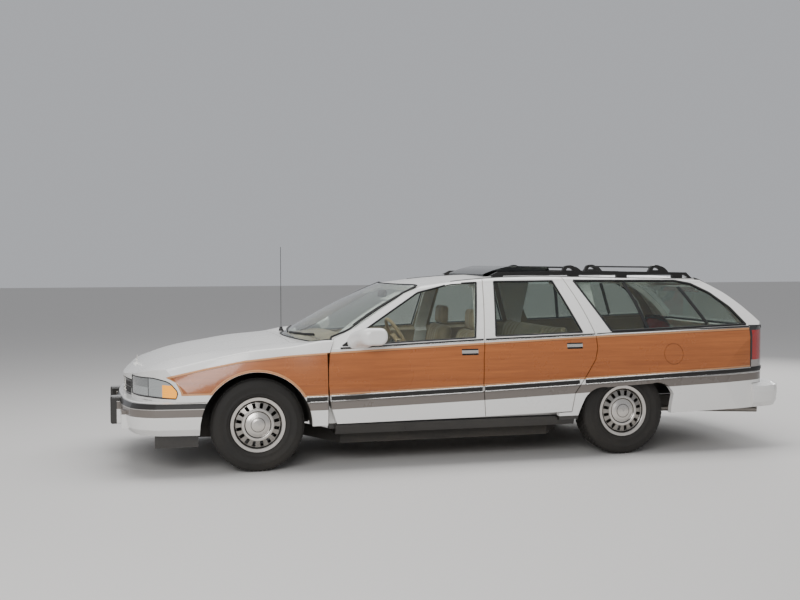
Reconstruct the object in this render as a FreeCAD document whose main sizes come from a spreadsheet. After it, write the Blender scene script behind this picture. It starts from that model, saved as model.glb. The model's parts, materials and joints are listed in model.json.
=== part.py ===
import math
import os

import FreeCAD
import Part
import Sketcher
from FreeCAD import Placement, Rotation, Vector

# Full-size station wagon: a body on a perimeter frame, four doors, a rear hatch
# window over a drop-down tailgate, steered front wheels and a solid rear axle.
# The car is drawn in millimetres from the front axle: X runs to the rear, Y to the
# car's right side and Z up from the ground. At the end every piece is shifted so
# that the origin lies on the ground midway between the bumpers.

doc = FreeCAD.newDocument("StationWagon")
sheet = doc.addObject("Spreadsheet::Sheet", "Sizes")

# Columns: alias, value in millimetres (or degrees), what it is.
SIZE_TABLE = [
    ("wheelbase", 2944, "front axle to rear axle"),
    ("front_overhang", 1060, "front axle to the face of the bumper guards"),
    ("rear_overhang", 1525, "rear axle to the face of the rear bumper"),
    ("front_track", 1575, "between the front tyres' middle planes"),
    ("rear_track", 1629, "between the rear tyres' middle planes"),
    ("tyre_radius", 350, "outer radius of a tyre"),
    ("tyre_width", 225, "section width of a tyre"),
    ("rim_radius", 190, "bead seat radius of a wheel"),
    ("rim_lip", 14, "height of the rim flange over the bead seat"),
    ("rim_width", 178, "width of a wheel over its flanges"),
    ("hub_radius", 34, "radius of a wheel's hub bore"),
    ("bearing_clearance", 0.05, "radial clearance of a wheel on its spindle"),
    ("kingpin_offset", 700, "steering axis to the car's middle plane"),
    ("turned_tyre_room", 9, "room between a steered tyre and its wheelhouse"),
    ("kingpin_radius", 14, "radius of a knuckle's pivot pins"),
    ("pivot_clearance", 0.05, "radial clearance of a pivot pin"),
    ("floor_top", 345, "top of the cabin floor"),
    ("floor_sheet", 12, "thickness of the floor"),
    ("load_floor_top", 640, "top of the load floor"),
    ("sill_bottom", 262, "underside of the rocker"),
    ("door_bottom_front", 346, "front door's lower edge"),
    ("door_bottom_rear", 372, "rear door's lower edge at its back"),
    ("door_wall", 90, "thickness of a door below its glass"),
    ("frame_wall", 42, "thickness of a door's window frame"),
    ("roof_wall", 26, "thickness of the roof"),
    ("quarter_wall", 50, "thickness of a quarter panel"),
    ("fender_wall", 22, "thickness of a front fender and of the hood"),
    ("door_gap", 8, "gap between a door and its neighbours"),
    ("seal_room", 8, "room between a closed door and the pillars"),
    ("seal_gap", 3, "room between a closed door and its seal, which its hinge side turns into"),
    ("pillar_depth", 36, "thickness of the pillars behind the doors"),
    ("glass_inset", 5, "outer face of the glass inside the body's skin"),
    ("glass_thick", 5, "thickness of the glass"),
    ("seat_clearance", 0.3, "between pieces that rest on each other"),
    ("front_door_edge", 510, "front door's leading edge behind the front axle"),
    ("door_seam", 1722, "seam between the doors behind the front axle"),
    ("rear_door_edge", 2684, "rear door's trailing edge at the belt"),
    ("grille_half", 398, "half width of the grille"),
    ("hood_back", 270, "rear edge of the hood behind the front axle"),
    ("roof_back", 3705, "rear edge of the roof panel"),
    ("roof_edge_half", 684, "half width of the roof panel"),
    ("tail_face", 4285, "rear face of the body behind the front axle"),
    ("tailgate_half", 700, "half width of the tailgate"),
    ("tailgate_top", 1010, "seam between the tailgate and its window"),
    ("tail_glass", 8, "thickness of the tailgate window with its frame"),
    ("tailgate_bottom", 560, "lower edge of the tailgate"),
    ("bumper_top", 548, "top of the front bumper's cover"),
    ("bumper_low", 300, "lower edge of the front bumper's cover"),
    ("front_arch_radius", 412, "radius of a front wheel arch"),
    ("front_arch_shift", -20, "centre of the front arch from the front axle"),
    ("front_arch_height", 340, "centre of the front arch over the ground"),
    ("rear_arch_front", -372, "front end of the rear arch from the rear axle"),
    ("rear_arch_rear", 402, "rear end of the rear arch from the rear axle"),
    ("rear_arch_top", 575, "top of the flat rear arch"),
    ("steering_x", 1200, "centre of the steering wheel behind the front axle"),
    ("steering_y", 400, "centre of the steering wheel left of the middle"),
    ("steering_z", 925, "centre of the steering wheel over the ground"),
    ("steering_radius", 190, "radius of the steering wheel"),
    ("steering_rake", 28, "tilt of the steering wheel from upright, degrees"),
    ("steering_tube", 14, "radius of the steering wheel's tube"),
    ("slot_inner", 121, "inner end of a wheel's slots from its axle"),
    ("slot_outer", 163, "outer end of a wheel's slots from its axle"),
    ("slot_width", 25, "width of a wheel's slot"),
    ("cap_radius", 92, "radius of a wheel's domed cap"),
    ("disc_radius", 110, "radius of a front brake disc"),
    ("drum_radius", 140, "radius of a rear brake drum"),
    ("flange_radius", 54, "radius of the flange that a wheel bolts to"),
    ("axle_tube_radius", 38, "radius of the rear axle's tube"),
    ("differential_radius", 125, "radius of the rear axle's housing"),
    ("propshaft_radius", 38, "radius of the propeller shaft"),
    ("propshaft_height", 358, "rear end of the propeller shaft over the ground"),
    ("engine_length", 660, "length of the engine block"),
    ("engine_width", 480, "width of the engine block"),
    ("engine_bottom", 330, "underside of the engine block over the ground"),
    ("engine_height", 410, "height of the engine block"),
    ("sump_bottom", 286, "underside of the sump over the ground"),
    ("sump_width", 260, "width of the sump"),
    ("tank_front", 3450, "front of the fuel tank behind the front axle"),
    ("tank_length", 550, "length of the fuel tank"),
    ("tank_width", 760, "width of the fuel tank"),
    ("tank_bottom", 400, "underside of the fuel tank over the ground"),
    ("tank_round", 40, "rounding of the fuel tank's edges"),
    ("exhaust_radius", 27, "radius of the exhaust pipe"),
    ("muffler_radius", 72, "radius of the muffler"),
    ("exhaust_height", 270, "exhaust pipe under the floor over the ground"),
    ("tub_radius", 412, "radius of the inner wheelhouse over a rear wheel"),
    ("rail_width", 80, "width of a frame rail"),
    ("rail_height", 88, "height of a frame rail"),
    ("grille_bar", 5, "width of an upright bar of the grille"),
    ("grille_frame", 16, "width of the grille's surround"),
    ("grille_pitch", 27, "spacing of the grille's upright bars"),
    ("handle_length", 128, "length of a door handle"),
    ("handle_height", 24, "height of a door handle"),
    ("handle_depth", 20, "depth of the recess behind a door handle"),
    ("fuel_door_radius", 85, "radius of the fuel filler's door"),
    ("fuel_door_gap", 3, "width and depth of the seam round the fuel filler's door"),
    ("front_seat_x", 1225, "front of the front seats' cushions behind the front axle"),
    ("rear_seat_x", 1945, "front of the rear seat's cushion behind the front axle"),
    ("rack_height", 1522, "top of the roof rack over the ground"),
    ("rack_half", 640, "rack rail to the middle plane"),
]
for row, (alias, value, meaning) in enumerate(SIZE_TABLE, start=1):
    sheet.set("A%d" % row, alias)
    sheet.set("B%d" % row, str(value))
    sheet.setAlias("B%d" % row, alias)
    sheet.set("C%d" % row, meaning)
doc.recompute()


def size(alias):
    """A driving dimension as a number."""
    return float(getattr(sheet, alias))


WHEELBASE = size("wheelbase")
FRONT_FACE = -size("front_overhang")
REAR_FACE = WHEELBASE + size("rear_overhang")
TAIL = size("tail_face")
GAP = size("door_gap")
SEAT = size("seat_clearance")
WIDE = 1300.0
HIGH = 1700.0

pieces = []
bound_pieces = []


def wire_of(points, place):
    """A closed wire through (u, v) points; a third number is the bulge to the right
    of an arc that ends at that point."""
    edges = []
    for index, point in enumerate(points):
        start = points[index - 1]
        u0, v0 = start[0], start[1]
        u1, v1 = point[0], point[1]
        bulge = point[2] if len(point) > 2 else 0.0
        if abs(bulge) < 1e-9:
            edges.append(Part.LineSegment(place(u0, v0), place(u1, v1)).toShape())
            continue
        length = math.hypot(u1 - u0, v1 - v0)
        um = (u0 + u1) / 2 + (v1 - v0) / length * bulge
        vm = (v0 + v1) / 2 - (u1 - u0) / length * bulge
        edges.append(Part.Arc(place(u0, v0), place(um, vm), place(u1, v1)).toShape())
    return Part.Wire(Part.__sortEdges__(edges))


def side_prism(points, low, high):
    """The (x, z) outline pushed from y = low to y = high."""
    wire = wire_of(points, lambda u, v: Vector(u, low, v))
    return Part.Face(wire).extrude(Vector(0, high - low, 0))


def plan_prism(points, low, high):
    """The (x, y) outline pushed from z = low to z = high."""
    wire = wire_of(points, lambda u, v: Vector(u, v, low))
    return Part.Face(wire).extrude(Vector(0, 0, high - low))


def cross_prism(points, low, high):
    """The (y, z) outline pushed from x = low to x = high."""
    wire = wire_of(points, lambda u, v: Vector(low, u, v))
    return Part.Face(wire).extrude(Vector(high - low, 0, 0))


def box(x0, x1, y0, y1, z0, z1):
    """A box between two corners."""
    return Part.makeBox(x1 - x0, y1 - y0, z1 - z0, Vector(x0, y0, z0))


def rod(start, end, radius):
    """A round bar between two points."""
    way = Vector(*end) - Vector(*start)
    return Part.makeCylinder(radius, way.Length, Vector(*start), way)


def beam(path, width, height):
    """A rectangular tube's outer form through (x, y, z) points that run along X."""
    wires = []
    for x, y, z in path:
        corners = [(y - width / 2, z), (y + width / 2, z), (y + width / 2, z + height), (y - width / 2, z + height)]
        wires.append(wire_of(corners, lambda u, v, x=x: Vector(x, u, v)))
    return Part.makeLoft(wires, True, True)


def mirrored(shape):
    """The same shape on the car's other side."""
    return shape.mirror(Vector(0, 0, 0), Vector(0, 1, 0))


def pair(shape):
    """A left shape and its right twin as one compound."""
    return Part.makeCompound(solids_of(shape) + solids_of(mirrored(shape)))


def solids_of(shape, smallest=500.0):
    """The solids of a boolean's result without its slivers."""
    return [solid for solid in shape.Solids if solid.Volume > smallest]


def offset_outline(points, distance):
    """A straight-sided outline, counter-clockwise, grown by a distance."""
    grown = []
    count = len(points)
    for index in range(count):
        before, here, after = points[index - 1], points[index], points[(index + 1) % count]
        ax, az = here[0] - before[0], here[1] - before[1]
        bx, bz = after[0] - here[0], after[1] - here[1]
        la, lb = math.hypot(ax, az), math.hypot(bx, bz)
        nax, naz = az / la, -ax / la
        nbx, nbz = bz / lb, -bx / lb
        scale = distance / (1.0 + nax * nbx + naz * nbz)
        grown.append((here[0] + (nax + nbx) * scale, here[1] + (naz + nbz) * scale))
    return grown


def sheared_prism(points, slopes, y_skin):
    """An (x, z) outline cut through a side wall. Each point has its own slope: the cut
    moves forward by the slope for each millimetre inboard of the skin at y_skin."""
    outer, inner = WIDE, 420.0
    wires = []
    for depth in (outer, inner):
        moved = [(p[0] + k * (depth - y), p[1]) for p, k, y in zip(points, slopes, y_skin)]
        wires.append(wire_of(moved, lambda u, v, depth=depth: Vector(u, -depth, v)))
    return Part.makeLoft(wires, True, True)


def add_piece(label, shape):
    """One named piece whose form comes from the lofted skins."""
    piece = doc.addObject("Part::Feature", label)
    piece.Label = label
    piece.Shape = shape
    pieces.append(piece)
    return piece


ORIGIN_X = "(Sizes.front_overhang - Sizes.wheelbase - Sizes.rear_overhang) / 2"


def bound(kind, name, expressions, turn=None):
    """A document object whose properties are bound to the sheet, turned where needed."""
    item = doc.addObject(kind, name)
    if turn:
        item.Placement = Placement(Vector(0, 0, 0), turn)
    for place, expression in expressions.items():
        item.setExpression(place, expression)
    return item


ACROSS = Rotation(Vector(1, 0, 0), -90)


def cross_rod(name, radius, low, high, x, z):
    """A round bar across the car, from y = low to y = high."""
    return bound(
        "Part::Cylinder",
        name,
        {
            "Radius": radius,
            "Height": "(%s) - (%s)" % (high, low),
            "Placement.Base.x": x,
            "Placement.Base.y": low,
            "Placement.Base.z": z,
        },
        ACROSS,
    )


def bound_box(name, x0, x1, y0, y1, z0, z1):
    """A block between expressions for its faces."""
    return bound(
        "Part::Box",
        name,
        {
            "Length": "(%s) - (%s)" % (x1, x0),
            "Width": "(%s) - (%s)" % (y1, y0),
            "Height": "(%s) - (%s)" % (z1, z0),
            "Placement.Base.x": x0,
            "Placement.Base.y": y0,
            "Placement.Base.z": z0,
        },
    )


def joined(name, parts):
    """One object fused from several."""
    item = doc.addObject("Part::MultiFuse", name)
    item.Shapes = parts
    return item


def keep_bound(item, label):
    """A piece made of bound objects, shifted to the car's origin by the sheet."""
    item.Label = label
    item.setExpression("Placement.Base.x", ORIGIN_X)
    bound_pieces.append(item)
    return item


# The cabin's cross sections, for half the car, from the fenders to the tail.
# Columns: x, waist y, waist z, belt y, belt z, roof edge y, roof edge z, roof middle z.
CABIN_SECTIONS = [
    (480, 992, 560, 951, 904, 668, 1300, 1316),
    (1200, 1000, 565, 955, 931, 682, 1352, 1370),
    (1750, 1003, 575, 957, 952, 692, 1416, 1434),
    (2700, 1003, 590, 955, 972, 696, 1427, 1446),
    (3500, 998, 620, 948, 992, 682, 1411, 1429),
    (4300, 985, 640, 932, 1012, 655, 1366, 1384),
]


def cabin_envelope(low_inset, frame_inset, roof_inset, floor=200.0):
    """Half of the cabin's solid form, with its faces set in by the given walls."""
    wires = []
    for x, waist_y, waist_z, belt_y, belt_z, rail_y, rail_z, roof_z in CABIN_SECTIONS:
        waist = waist_y - low_inset
        belt = belt_y - low_inset
        lean = math.atan2(belt_y - 48 - rail_y, rail_z - 40 - belt_z)
        in_y, in_z = frame_inset * math.cos(lean), frame_inset * math.sin(lean)
        points = [
            (0, floor),
            (waist - 32, floor),
            (waist - 14, 345, 2),
            (waist, waist_z, 4),
            (belt, belt_z - low_inset * 0.25, 12),
            (belt_y - 8 - in_y, belt_z + 8 - in_z * 0.3, 3 if low_inset < 20 else 0),
            (rail_y + 42 - in_y, rail_z - 34 - in_z, 8),
            (rail_y - 4 * (roof_inset > 0), rail_z - roof_inset, 9),
            (0, roof_z - roof_inset, 2),
        ]
        wires.append(wire_of(points, lambda u, v, x=x: Vector(x, -u, v)))
    return Part.makeLoft(wires, True, False)


# The front end's cross sections, for half the car, from the nose to the doors.
# Columns: x, waist y, crease y, crease z, hood seam y, hood seam z, hood middle z.
NOSE_SECTIONS = [
    (-1000, 965, 880, 650, 470, 640, 652),
    (-860, 975, 890, 722, 520, 738, 752),
    (-740, 982, 898, 762, 575, 792, 806),
    (-560, 986, 908, 805, 625, 845, 858),
    (-300, 988, 922, 862, 645, 889, 899),
    (0, 990, 932, 912, 650, 923, 934),
    (280, 991, 935, 936, 655, 946, 955),
    (660, 993, 932, 950, 660, 966, 980),
]


def nose_envelope(side_inset, top_inset, floor=150.0):
    """Half of the front end's solid form, with its faces set in by the given walls."""
    wires = []
    for x, waist_y, crease_y, crease_z, seam_y, seam_z, hood_z in NOSE_SECTIONS:
        points = [
            (0, floor),
            (waist_y - 32 - side_inset, floor),
            (waist_y - 14 - side_inset, 345, 2),
            (waist_y - side_inset, 560, 4),
            (crease_y + 6 - side_inset, crease_z - 14 - top_inset, 12),
            (crease_y - 10 - side_inset, crease_z - top_inset, 4),
            (seam_y, seam_z - top_inset, 4),
            (0, hood_z - top_inset, 3),
        ]
        wires.append(wire_of(points, lambda u, v, x=x: Vector(x, -u, v)))
    return Part.makeLoft(wires, True, False)


def nose_plan(inset):
    """The bow of the nose seen from above, closed behind the front axle."""
    return [
        (900, 0),
        (FRONT_FACE + 102 + inset, 0),
        (FRONT_FACE + 165 + inset, -420 + inset * 0.3, 14),
        (FRONT_FACE + 290 + inset, -770 + inset * 0.6, 26),
        (FRONT_FACE + 470 + inset, -958 + inset, 16),
        (FRONT_FACE + 700, -1010 + inset, 6),
        (900, -1010 + inset),
    ]


def tail_plan(inset):
    """The rounded tail corner seen from above, closed ahead of the doors."""
    return [
        (300, 0),
        (300, -1100),
        (TAIL - 560, -1100),
        (TAIL - 560, -998 + inset),
        (TAIL - 190, -952 + inset, 8),
        (TAIL - 45 - inset * 0.6, -830 + inset * 0.8, 24),
        (TAIL + 30 - inset, -430, 10),
        (TAIL + 45 - inset, 0, 3),
    ]


def tail_side(inset):
    """The side outline of the body that ends it at the rear window and tailgate."""
    return [
        (300, 100),
        (TAIL + 60 - inset, 100),
        (TAIL + 60 - inset, 560),
        (TAIL + 15 - inset, 900, 4),
        (TAIL - 72 - inset * 1.1, size("tailgate_top") - inset * 0.3, 10),
        (3930 - inset * 0.7, 1288 - inset * 0.7, 14),
        (3560 - inset * 0.4, 1475 - inset * 0.9, 10),
        (300, 1600),
    ]


# The windshield is a bowed sheet: its middle line climbs from the cowl to the roof,
# and each section bends back towards the pillars with one radius.
# Columns: z, x at the middle, half width of the section.
WINDSHIELD_LINE = [(860, 176, 950), (1180, 738, 767), (1371, 1173, 657), (1470, 1460, 601)]
WINDSHIELD_BOW = 1850.0


def windshield_block(depth):
    """Everything ahead of the windshield's outer face set back by a depth."""
    wires = []
    for z, x, half in WINDSHIELD_LINE:
        xm = x + depth * 0.5
        zm = z - depth * 0.85
        back = WINDSHIELD_BOW - math.sqrt(WINDSHIELD_BOW ** 2 - half ** 2)
        corners = [(xm + back, half), (xm + back, -half, back), (-1500, -half), (-1500, half)]
        wires.append(wire_of(corners, lambda u, v, z=zm: Vector(u, v, z)))
    return Part.makeLoft(wires, True, False)


door_wall = size("door_wall")
frame_wall = size("frame_wall")
roof_wall = size("roof_wall")
seal_room = size("seal_room")
pillar = size("pillar_depth")
glass_set = size("glass_inset")
glass_thick = size("glass_thick")
quarter_wall = size("quarter_wall")
fender_wall = size("fender_wall")

tail_outer = plan_prism(tail_plan(0), 0, HIGH)
tail_outer_side = side_prism(tail_side(0), -WIDE, 10)
tail_inner = plan_prism(tail_plan(quarter_wall), 0, HIGH)
tail_inner_side = side_prism(tail_side(frame_wall), -WIDE, 10)

cabin_skin = cabin_envelope(0, 0, 0)
body_skin = cabin_skin.common(tail_outer).common(tail_outer_side)
door_inner = cabin_envelope(door_wall, frame_wall, roof_wall, 150.0)
pillar_outer = cabin_envelope(door_wall + seal_room, frame_wall + seal_room, roof_wall + seal_room, 140.0)
pillar_inner = cabin_envelope(
    door_wall + seal_room + pillar,
    frame_wall + seal_room + pillar,
    roof_wall + seal_room + pillar,
    130.0,
)
quarter_inner = cabin_envelope(quarter_wall, frame_wall + seal_room, roof_wall + seal_room, 140.0)
quarter_hollow = quarter_inner.common(tail_inner).common(tail_inner_side)
glass_outer = cabin_envelope(glass_set, glass_set, glass_set, 140.0)
glass_inner = cabin_envelope(glass_set + glass_thick, glass_set + glass_thick, glass_set + glass_thick, 130.0)

windshield_front = windshield_block(0)
windshield_back = windshield_block(glass_thick + 1)
windshield_bed = windshield_block(glass_thick + 1 + SEAT)

# Door and window outlines in side view, counter-clockwise from the lower front.
front_edge = size("front_door_edge")
seam = size("door_seam")
rear_edge = size("rear_door_edge")
low_front = size("door_bottom_front")
low_rear = size("door_bottom_rear")
seam_low = low_front + (low_rear - low_front) * 0.45

DOOR_SEAM_LINE = [(seam + 22, seam_low), (seam, 600), (seam + 6, 800), (seam + 24, 955), (seam + 92, 1470)]
REAR_ARCH_LINE = [
    (rear_edge - 222, low_rear),
    (rear_edge - 198, 520),
    (rear_edge - 119, 631),
    (rear_edge - 23, 779),
    (rear_edge, 868),
    (rear_edge - 6, 979),
    (rear_edge - 228, 1470),
]
FRONT_EDGE_LINE = [
    (front_edge + 64, low_front),
    (front_edge + 18, 480),
    (front_edge, 640),
    (front_edge + 3, 760),
    (front_edge + 16, 874),
    (front_edge + 58, 984),
    (front_edge + 245, 1068),
    (front_edge + 655, 1312),
    (front_edge + 790, 1366),
    (front_edge + 1010, 1480),
]


def skin_y(z):
    """Half width of the body's skin at a height, for the doors' bevelled edges."""
    if z < 600:
        return 1000.0
    if z < 960:
        return 1000.0 - (z - 600) * 0.14
    return max(950.0 - (z - 960) * 0.53, 690.0)


front_door_outline = FRONT_EDGE_LINE[:1] + DOOR_SEAM_LINE + FRONT_EDGE_LINE[:0:-1]
front_door_slopes = [0.0] + [0.25] * len(DOOR_SEAM_LINE) + [0.0] * (len(FRONT_EDGE_LINE) - 1)
rear_door_outline = DOOR_SEAM_LINE[:1] + REAR_ARCH_LINE + DOOR_SEAM_LINE[:0:-1]
rear_door_slopes = [0.25] + [0.12, 0.15, 0.15, 0.15, 0.15, 0.2, 0.42] + [0.25] * (len(DOOR_SEAM_LINE) - 1)


def door_cutter(outline, slopes, grow):
    """The bevelled cutter of a door outline grown by a distance."""
    moved = offset_outline(outline, grow)
    return sheared_prism(moved, slopes, [skin_y(p[1]) for p in moved])


front_door_cut = door_cutter(front_door_outline, front_door_slopes, -GAP / 2)
front_door_open = door_cutter(front_door_outline, front_door_slopes, GAP / 2)
rear_door_cut = door_cutter(rear_door_outline, rear_door_slopes, -GAP / 2)
rear_door_open = door_cutter(rear_door_outline, rear_door_slopes, GAP / 2)

FRONT_WINDOW = [(front_edge + 118, 927), (seam - 44, 968), (seam + 33, 1392), (seam - 178, 1382), (1271, 1316)]
REAR_WINDOW = [(seam + 121, 976), (rear_edge - 111, 993), (rear_edge - 289, 1401), (seam + 176, 1398)]
QUARTER_WINDOW = [
    (2825, 996),
    (4045, 1030),
    (3938, 1170),
    (3790, 1290),
    (3640, 1366),
    (3500, 1392),
    (2579, 1400),
]

front_window_cut = side_prism(FRONT_WINDOW, -WIDE, -300)
rear_window_cut = side_prism(REAR_WINDOW, -WIDE, -300)
quarter_window_cut = side_prism(QUARTER_WINDOW, -WIDE, -300)
roof_strip = box(300, 4400, -size("roof_edge_half") - GAP / 2, 0, 1100, HIGH)

door_blank = cabin_skin.cut(door_inner)
door_band = door_blank.cut(roof_strip)


def door_panel(cutter, window_cut):
    """A door: the whole wall inside its outline with the window cut out."""
    return door_band.common(cutter).cut(window_cut)


# Door handles: a bar across a recess in the skin, under the belt at the door's rear.
handle_long, handle_high = size("handle_length"), size("handle_height")
handle_deep = size("handle_depth")


def with_handle(door, x, z, skin):
    """A door with the recess and the bar of its outer handle."""
    recess = box(x - handle_long / 2, x + handle_long / 2, -WIDE, -skin + handle_deep, z - handle_high, z + handle_high * 0.8)
    bar = box(x - handle_long / 2 - 2, x + handle_long / 2 + 2, -skin - 1, -skin + 7, z - handle_high / 2, z + handle_high / 2)
    return door.cut(recess).fuse(bar)


front_door = with_handle(door_panel(front_door_cut, front_window_cut), seam - 100, 864, 975)
rear_door = with_handle(door_panel(rear_door_cut, rear_window_cut), rear_edge - 191, 893, 971)


def window_glass(outline, inset=SEAT):
    """A side window that fills its opening."""
    cutter = side_prism(offset_outline(outline, -inset), -WIDE, -300)
    return glass_outer.cut(glass_inner).common(cutter)


front_glass = window_glass(FRONT_WINDOW)
rear_glass = window_glass(REAR_WINDOW)
quarter_glass = window_glass(QUARTER_WINDOW)

# Wheel arches in side view.
arch_r = size("front_arch_radius")
arch_x = size("front_arch_shift")
arch_z = size("front_arch_height")
front_arch = Part.makeCylinder(arch_r, 460, Vector(arch_x, -1100, arch_z), Vector(0, 1, 0))
front_arch = front_arch.fuse(box(arch_x - arch_r, arch_x + arch_r, -1100, -640, 100, arch_z))
RA0 = WHEELBASE + size("rear_arch_front")
RA1 = WHEELBASE + size("rear_arch_rear")
RAT = size("rear_arch_top")
REAR_ARCH = [
    (RA0 - 60, 100),
    (RA1 - 30, 100),
    (RA1 - 18, 330),
    (RA1, 480, -4),
    (RA1 - 190, RAT, 42),
    (RA0 + 190, RAT - 18),
    (RA0, 480, 30),
    (RA0 - 60, 330, 4),
]
rear_arch = side_prism(REAR_ARCH, -1100, -640)

rear_seam = REAR_FACE - 386
quarter_zone = side_prism(
    [
        (rear_edge - 330, 310),
        (rear_seam, 345),
        (rear_seam, size("bumper_top")),
        (TAIL + 100, size("bumper_top")),
        (TAIL + 100, 1480),
        (rear_edge - 330, 1480),
    ],
    -WIDE,
    10,
)
hatch_zone = box(3400, 4500, -size("tailgate_half") - 3, 10, 400, HIGH)
lamp_zone = box(TAIL - 215, TAIL + 100, -WIDE, -size("tailgate_half"), 676, 1022)
body_shell = body_skin.cut(quarter_hollow)
quarter = body_shell.common(quarter_zone)
quarter = quarter.cut(roof_strip).cut(rear_door_open)
quarter = quarter.cut(quarter_window_cut).cut(rear_arch).cut(hatch_zone)
taillamp = quarter.common(lamp_zone)
quarter = quarter.cut(lamp_zone)

# The round fuel filler door shows as a narrow seam in the quarter panel.
filler_r, filler_gap = size("fuel_door_radius"), size("fuel_door_gap")
filler_place = Vector(3352, -WIDE, 807)
filler_floor = 962.0
filler_seam = Part.makeCylinder(filler_r, WIDE - filler_floor, filler_place, Vector(0, 1, 0))
filler_seam = filler_seam.cut(Part.makeCylinder(filler_r - filler_gap, WIDE, filler_place, Vector(0, 1, 0)))
quarter = quarter.cut(filler_seam)
add_piece("quarter_panels", pair(quarter))
add_piece("quarter_windows", pair(quarter_glass))
add_piece("taillamps", pair(taillamp))

# Pillars, roof rails and rocker: the welded ring that the doors close against.
front_ring_hole = side_prism(offset_outline(front_door_outline[:7] + front_door_outline[8:], -52), -WIDE, -300)
rear_ring_hole = side_prism(offset_outline(rear_door_outline, -52), -WIDE, -300)
ring_zone = side_prism(
    [(front_edge + 20, 300), (rear_edge + 60, 300), (rear_edge + 60, 1480), (front_edge + 20, 1480)],
    -WIDE,
    -200,
)
ring = pillar_outer.cut(pillar_inner).common(ring_zone)
ring = ring.cut(box(0, 4400, -560, 10, 1000, HIGH))
tub_radius = size("tub_radius")
axle_z = size("tyre_radius")
tub_room = Part.makeCylinder(tub_radius + SEAT, 400, Vector(WHEELBASE, -1000, axle_z), Vector(0, 1, 0))
nose_skin = nose_envelope(0, 0)
fender_room = nose_skin.cut(nose_envelope(fender_wall + SEAT, fender_wall + SEAT, 139.0))
fender_room = fender_room.common(box(-1300, front_edge + 60 + SEAT, -WIDE, 10, 100, HIGH))
ring = ring.cut(front_ring_hole).cut(rear_ring_hole).cut(windshield_bed).cut(rear_arch)
ring = ring.cut(tub_room).cut(fender_room)
sill_section = [
    (-905, size("sill_bottom")),
    (-790, size("sill_bottom")),
    (-790, 400),
    (-870, 400),
    (-870, 334),
    (-930, 334),
]
rocker = cross_prism(sill_section, front_edge + 66, RA0 + 10).cut(rear_arch)
ring_parts = solids_of(ring)
ring = ring_parts[0].multiFuse(ring_parts[1:] + [rocker]) if len(ring_parts) > 1 else ring_parts[0].fuse(rocker)
add_piece("door_frames", pair(ring))

# Roof panel with the opening of its raised glass.
vista_x0, vista_x1, vista_y = 1900.0, 2480.0, 470.0
roof_zone = plan_prism(
    [
        (size("roof_back"), size("roof_edge_half")),
        (1284, size("roof_edge_half")),
        (1284, -size("roof_edge_half"), 112),
        (size("roof_back"), -size("roof_edge_half")),
    ],
    1200,
    HIGH,
)
roof_half = cabin_skin.cut(pillar_outer).common(tail_outer_side).common(box(900, 4000, -size("roof_edge_half"), 0, 1200, HIGH))
roof = roof_half.fuse(mirrored(roof_half)).removeSplitter()
roof = roof.common(roof_zone).cut(windshield_back)
roof = roof.cut(box(vista_x0, vista_x1, -vista_y, vista_y, 1200, HIGH))
add_piece("roof_panel", Part.makeCompound(solids_of(roof)))
VISTA_SIDE = [(1900, 1408), (2480, 1408), (2480, 1478), (2456, 1512, 10), (2200, 1520), (2080, 1508, 6), (1900, 1452, 6)]
vista_outer = side_prism([(p[0] + SEAT * (1 if p[0] < 2000 else -1),) + tuple(p[1:]) for p in VISTA_SIDE], -vista_y + SEAT, vista_y - SEAT)
vista_inner = side_prism(
    [(1912, 1300), (2468, 1300), (2468, 1474), (2448, 1500, 8), (2200, 1508), (2082, 1496, 5), (1912, 1444, 5)],
    -vista_y + 12,
    vista_y - 12,
)
vista = vista_outer.cut(vista_inner)
add_piece("roof_window", vista)

# Windshield.
windshield = windshield_back.cut(windshield_front)
nose_full = nose_skin.fuse(mirrored(nose_skin))
windshield = windshield.common(box(0, 1284, -1000, 1000, 900, 1372)).cut(nose_full)
windshield = windshield.cut(front_door_open).cut(mirrored(front_door_open))
add_piece("windshield", Part.makeCompound(solids_of(windshield)))

add_piece("door_front_left", front_door)
add_piece("glass_front_left", front_glass)
add_piece("door_rear_left", rear_door)
add_piece("glass_rear_left", rear_glass)
add_piece("door_front_right", mirrored(front_door))
add_piece("glass_front_right", mirrored(front_glass))
add_piece("door_rear_right", mirrored(rear_door))
add_piece("glass_rear_right", mirrored(rear_glass))

# Front end: fenders, hood, cowl.
nose_solid = nose_skin.common(plan_prism(nose_plan(0), 0, HIGH))
nose_hollow = nose_envelope(fender_wall, fender_wall, 140.0).common(plan_prism(nose_plan(fender_wall), 0, HIGH))
nose_shell = nose_solid.cut(nose_hollow)
HOOD_EDGE = [(-1200, -380), (-905, -398), (-860, -505), (-740, -575), (-560, -625), (-300, -645), (0, -650), (700, -658)]
hood_cut = plan_prism(HOOD_EDGE + [(700, 10), (-1200, 10)], 600, HIGH)
HOOD_PANEL = [(p[0], p[1] + 5) for p in HOOD_EDGE]
hood_back = size("hood_back")
hood_half = nose_shell.common(plan_prism(HOOD_PANEL + [(700, 10), (-1200, 10)], 600, HIGH))
hood_half = hood_half.common(box(-1200, hood_back, -800, 0, 670, HIGH))
ornament_foot = box(-878, -842, -9, 9, 735, 763)
ornament_blade = side_prism([(-866, 750), (-848, 750), (-846, 822), (-851, 822)], -2, 2)
hood = hood_half.fuse(mirrored(hood_half)).fuse(ornament_foot).fuse(ornament_blade)
cowl_half = nose_shell.common(hood_cut).common(box(hood_back + 6, 800, -800, 0, 600, HIGH)).common(windshield_back)
cowl = cowl_half.fuse(mirrored(cowl_half))

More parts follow.
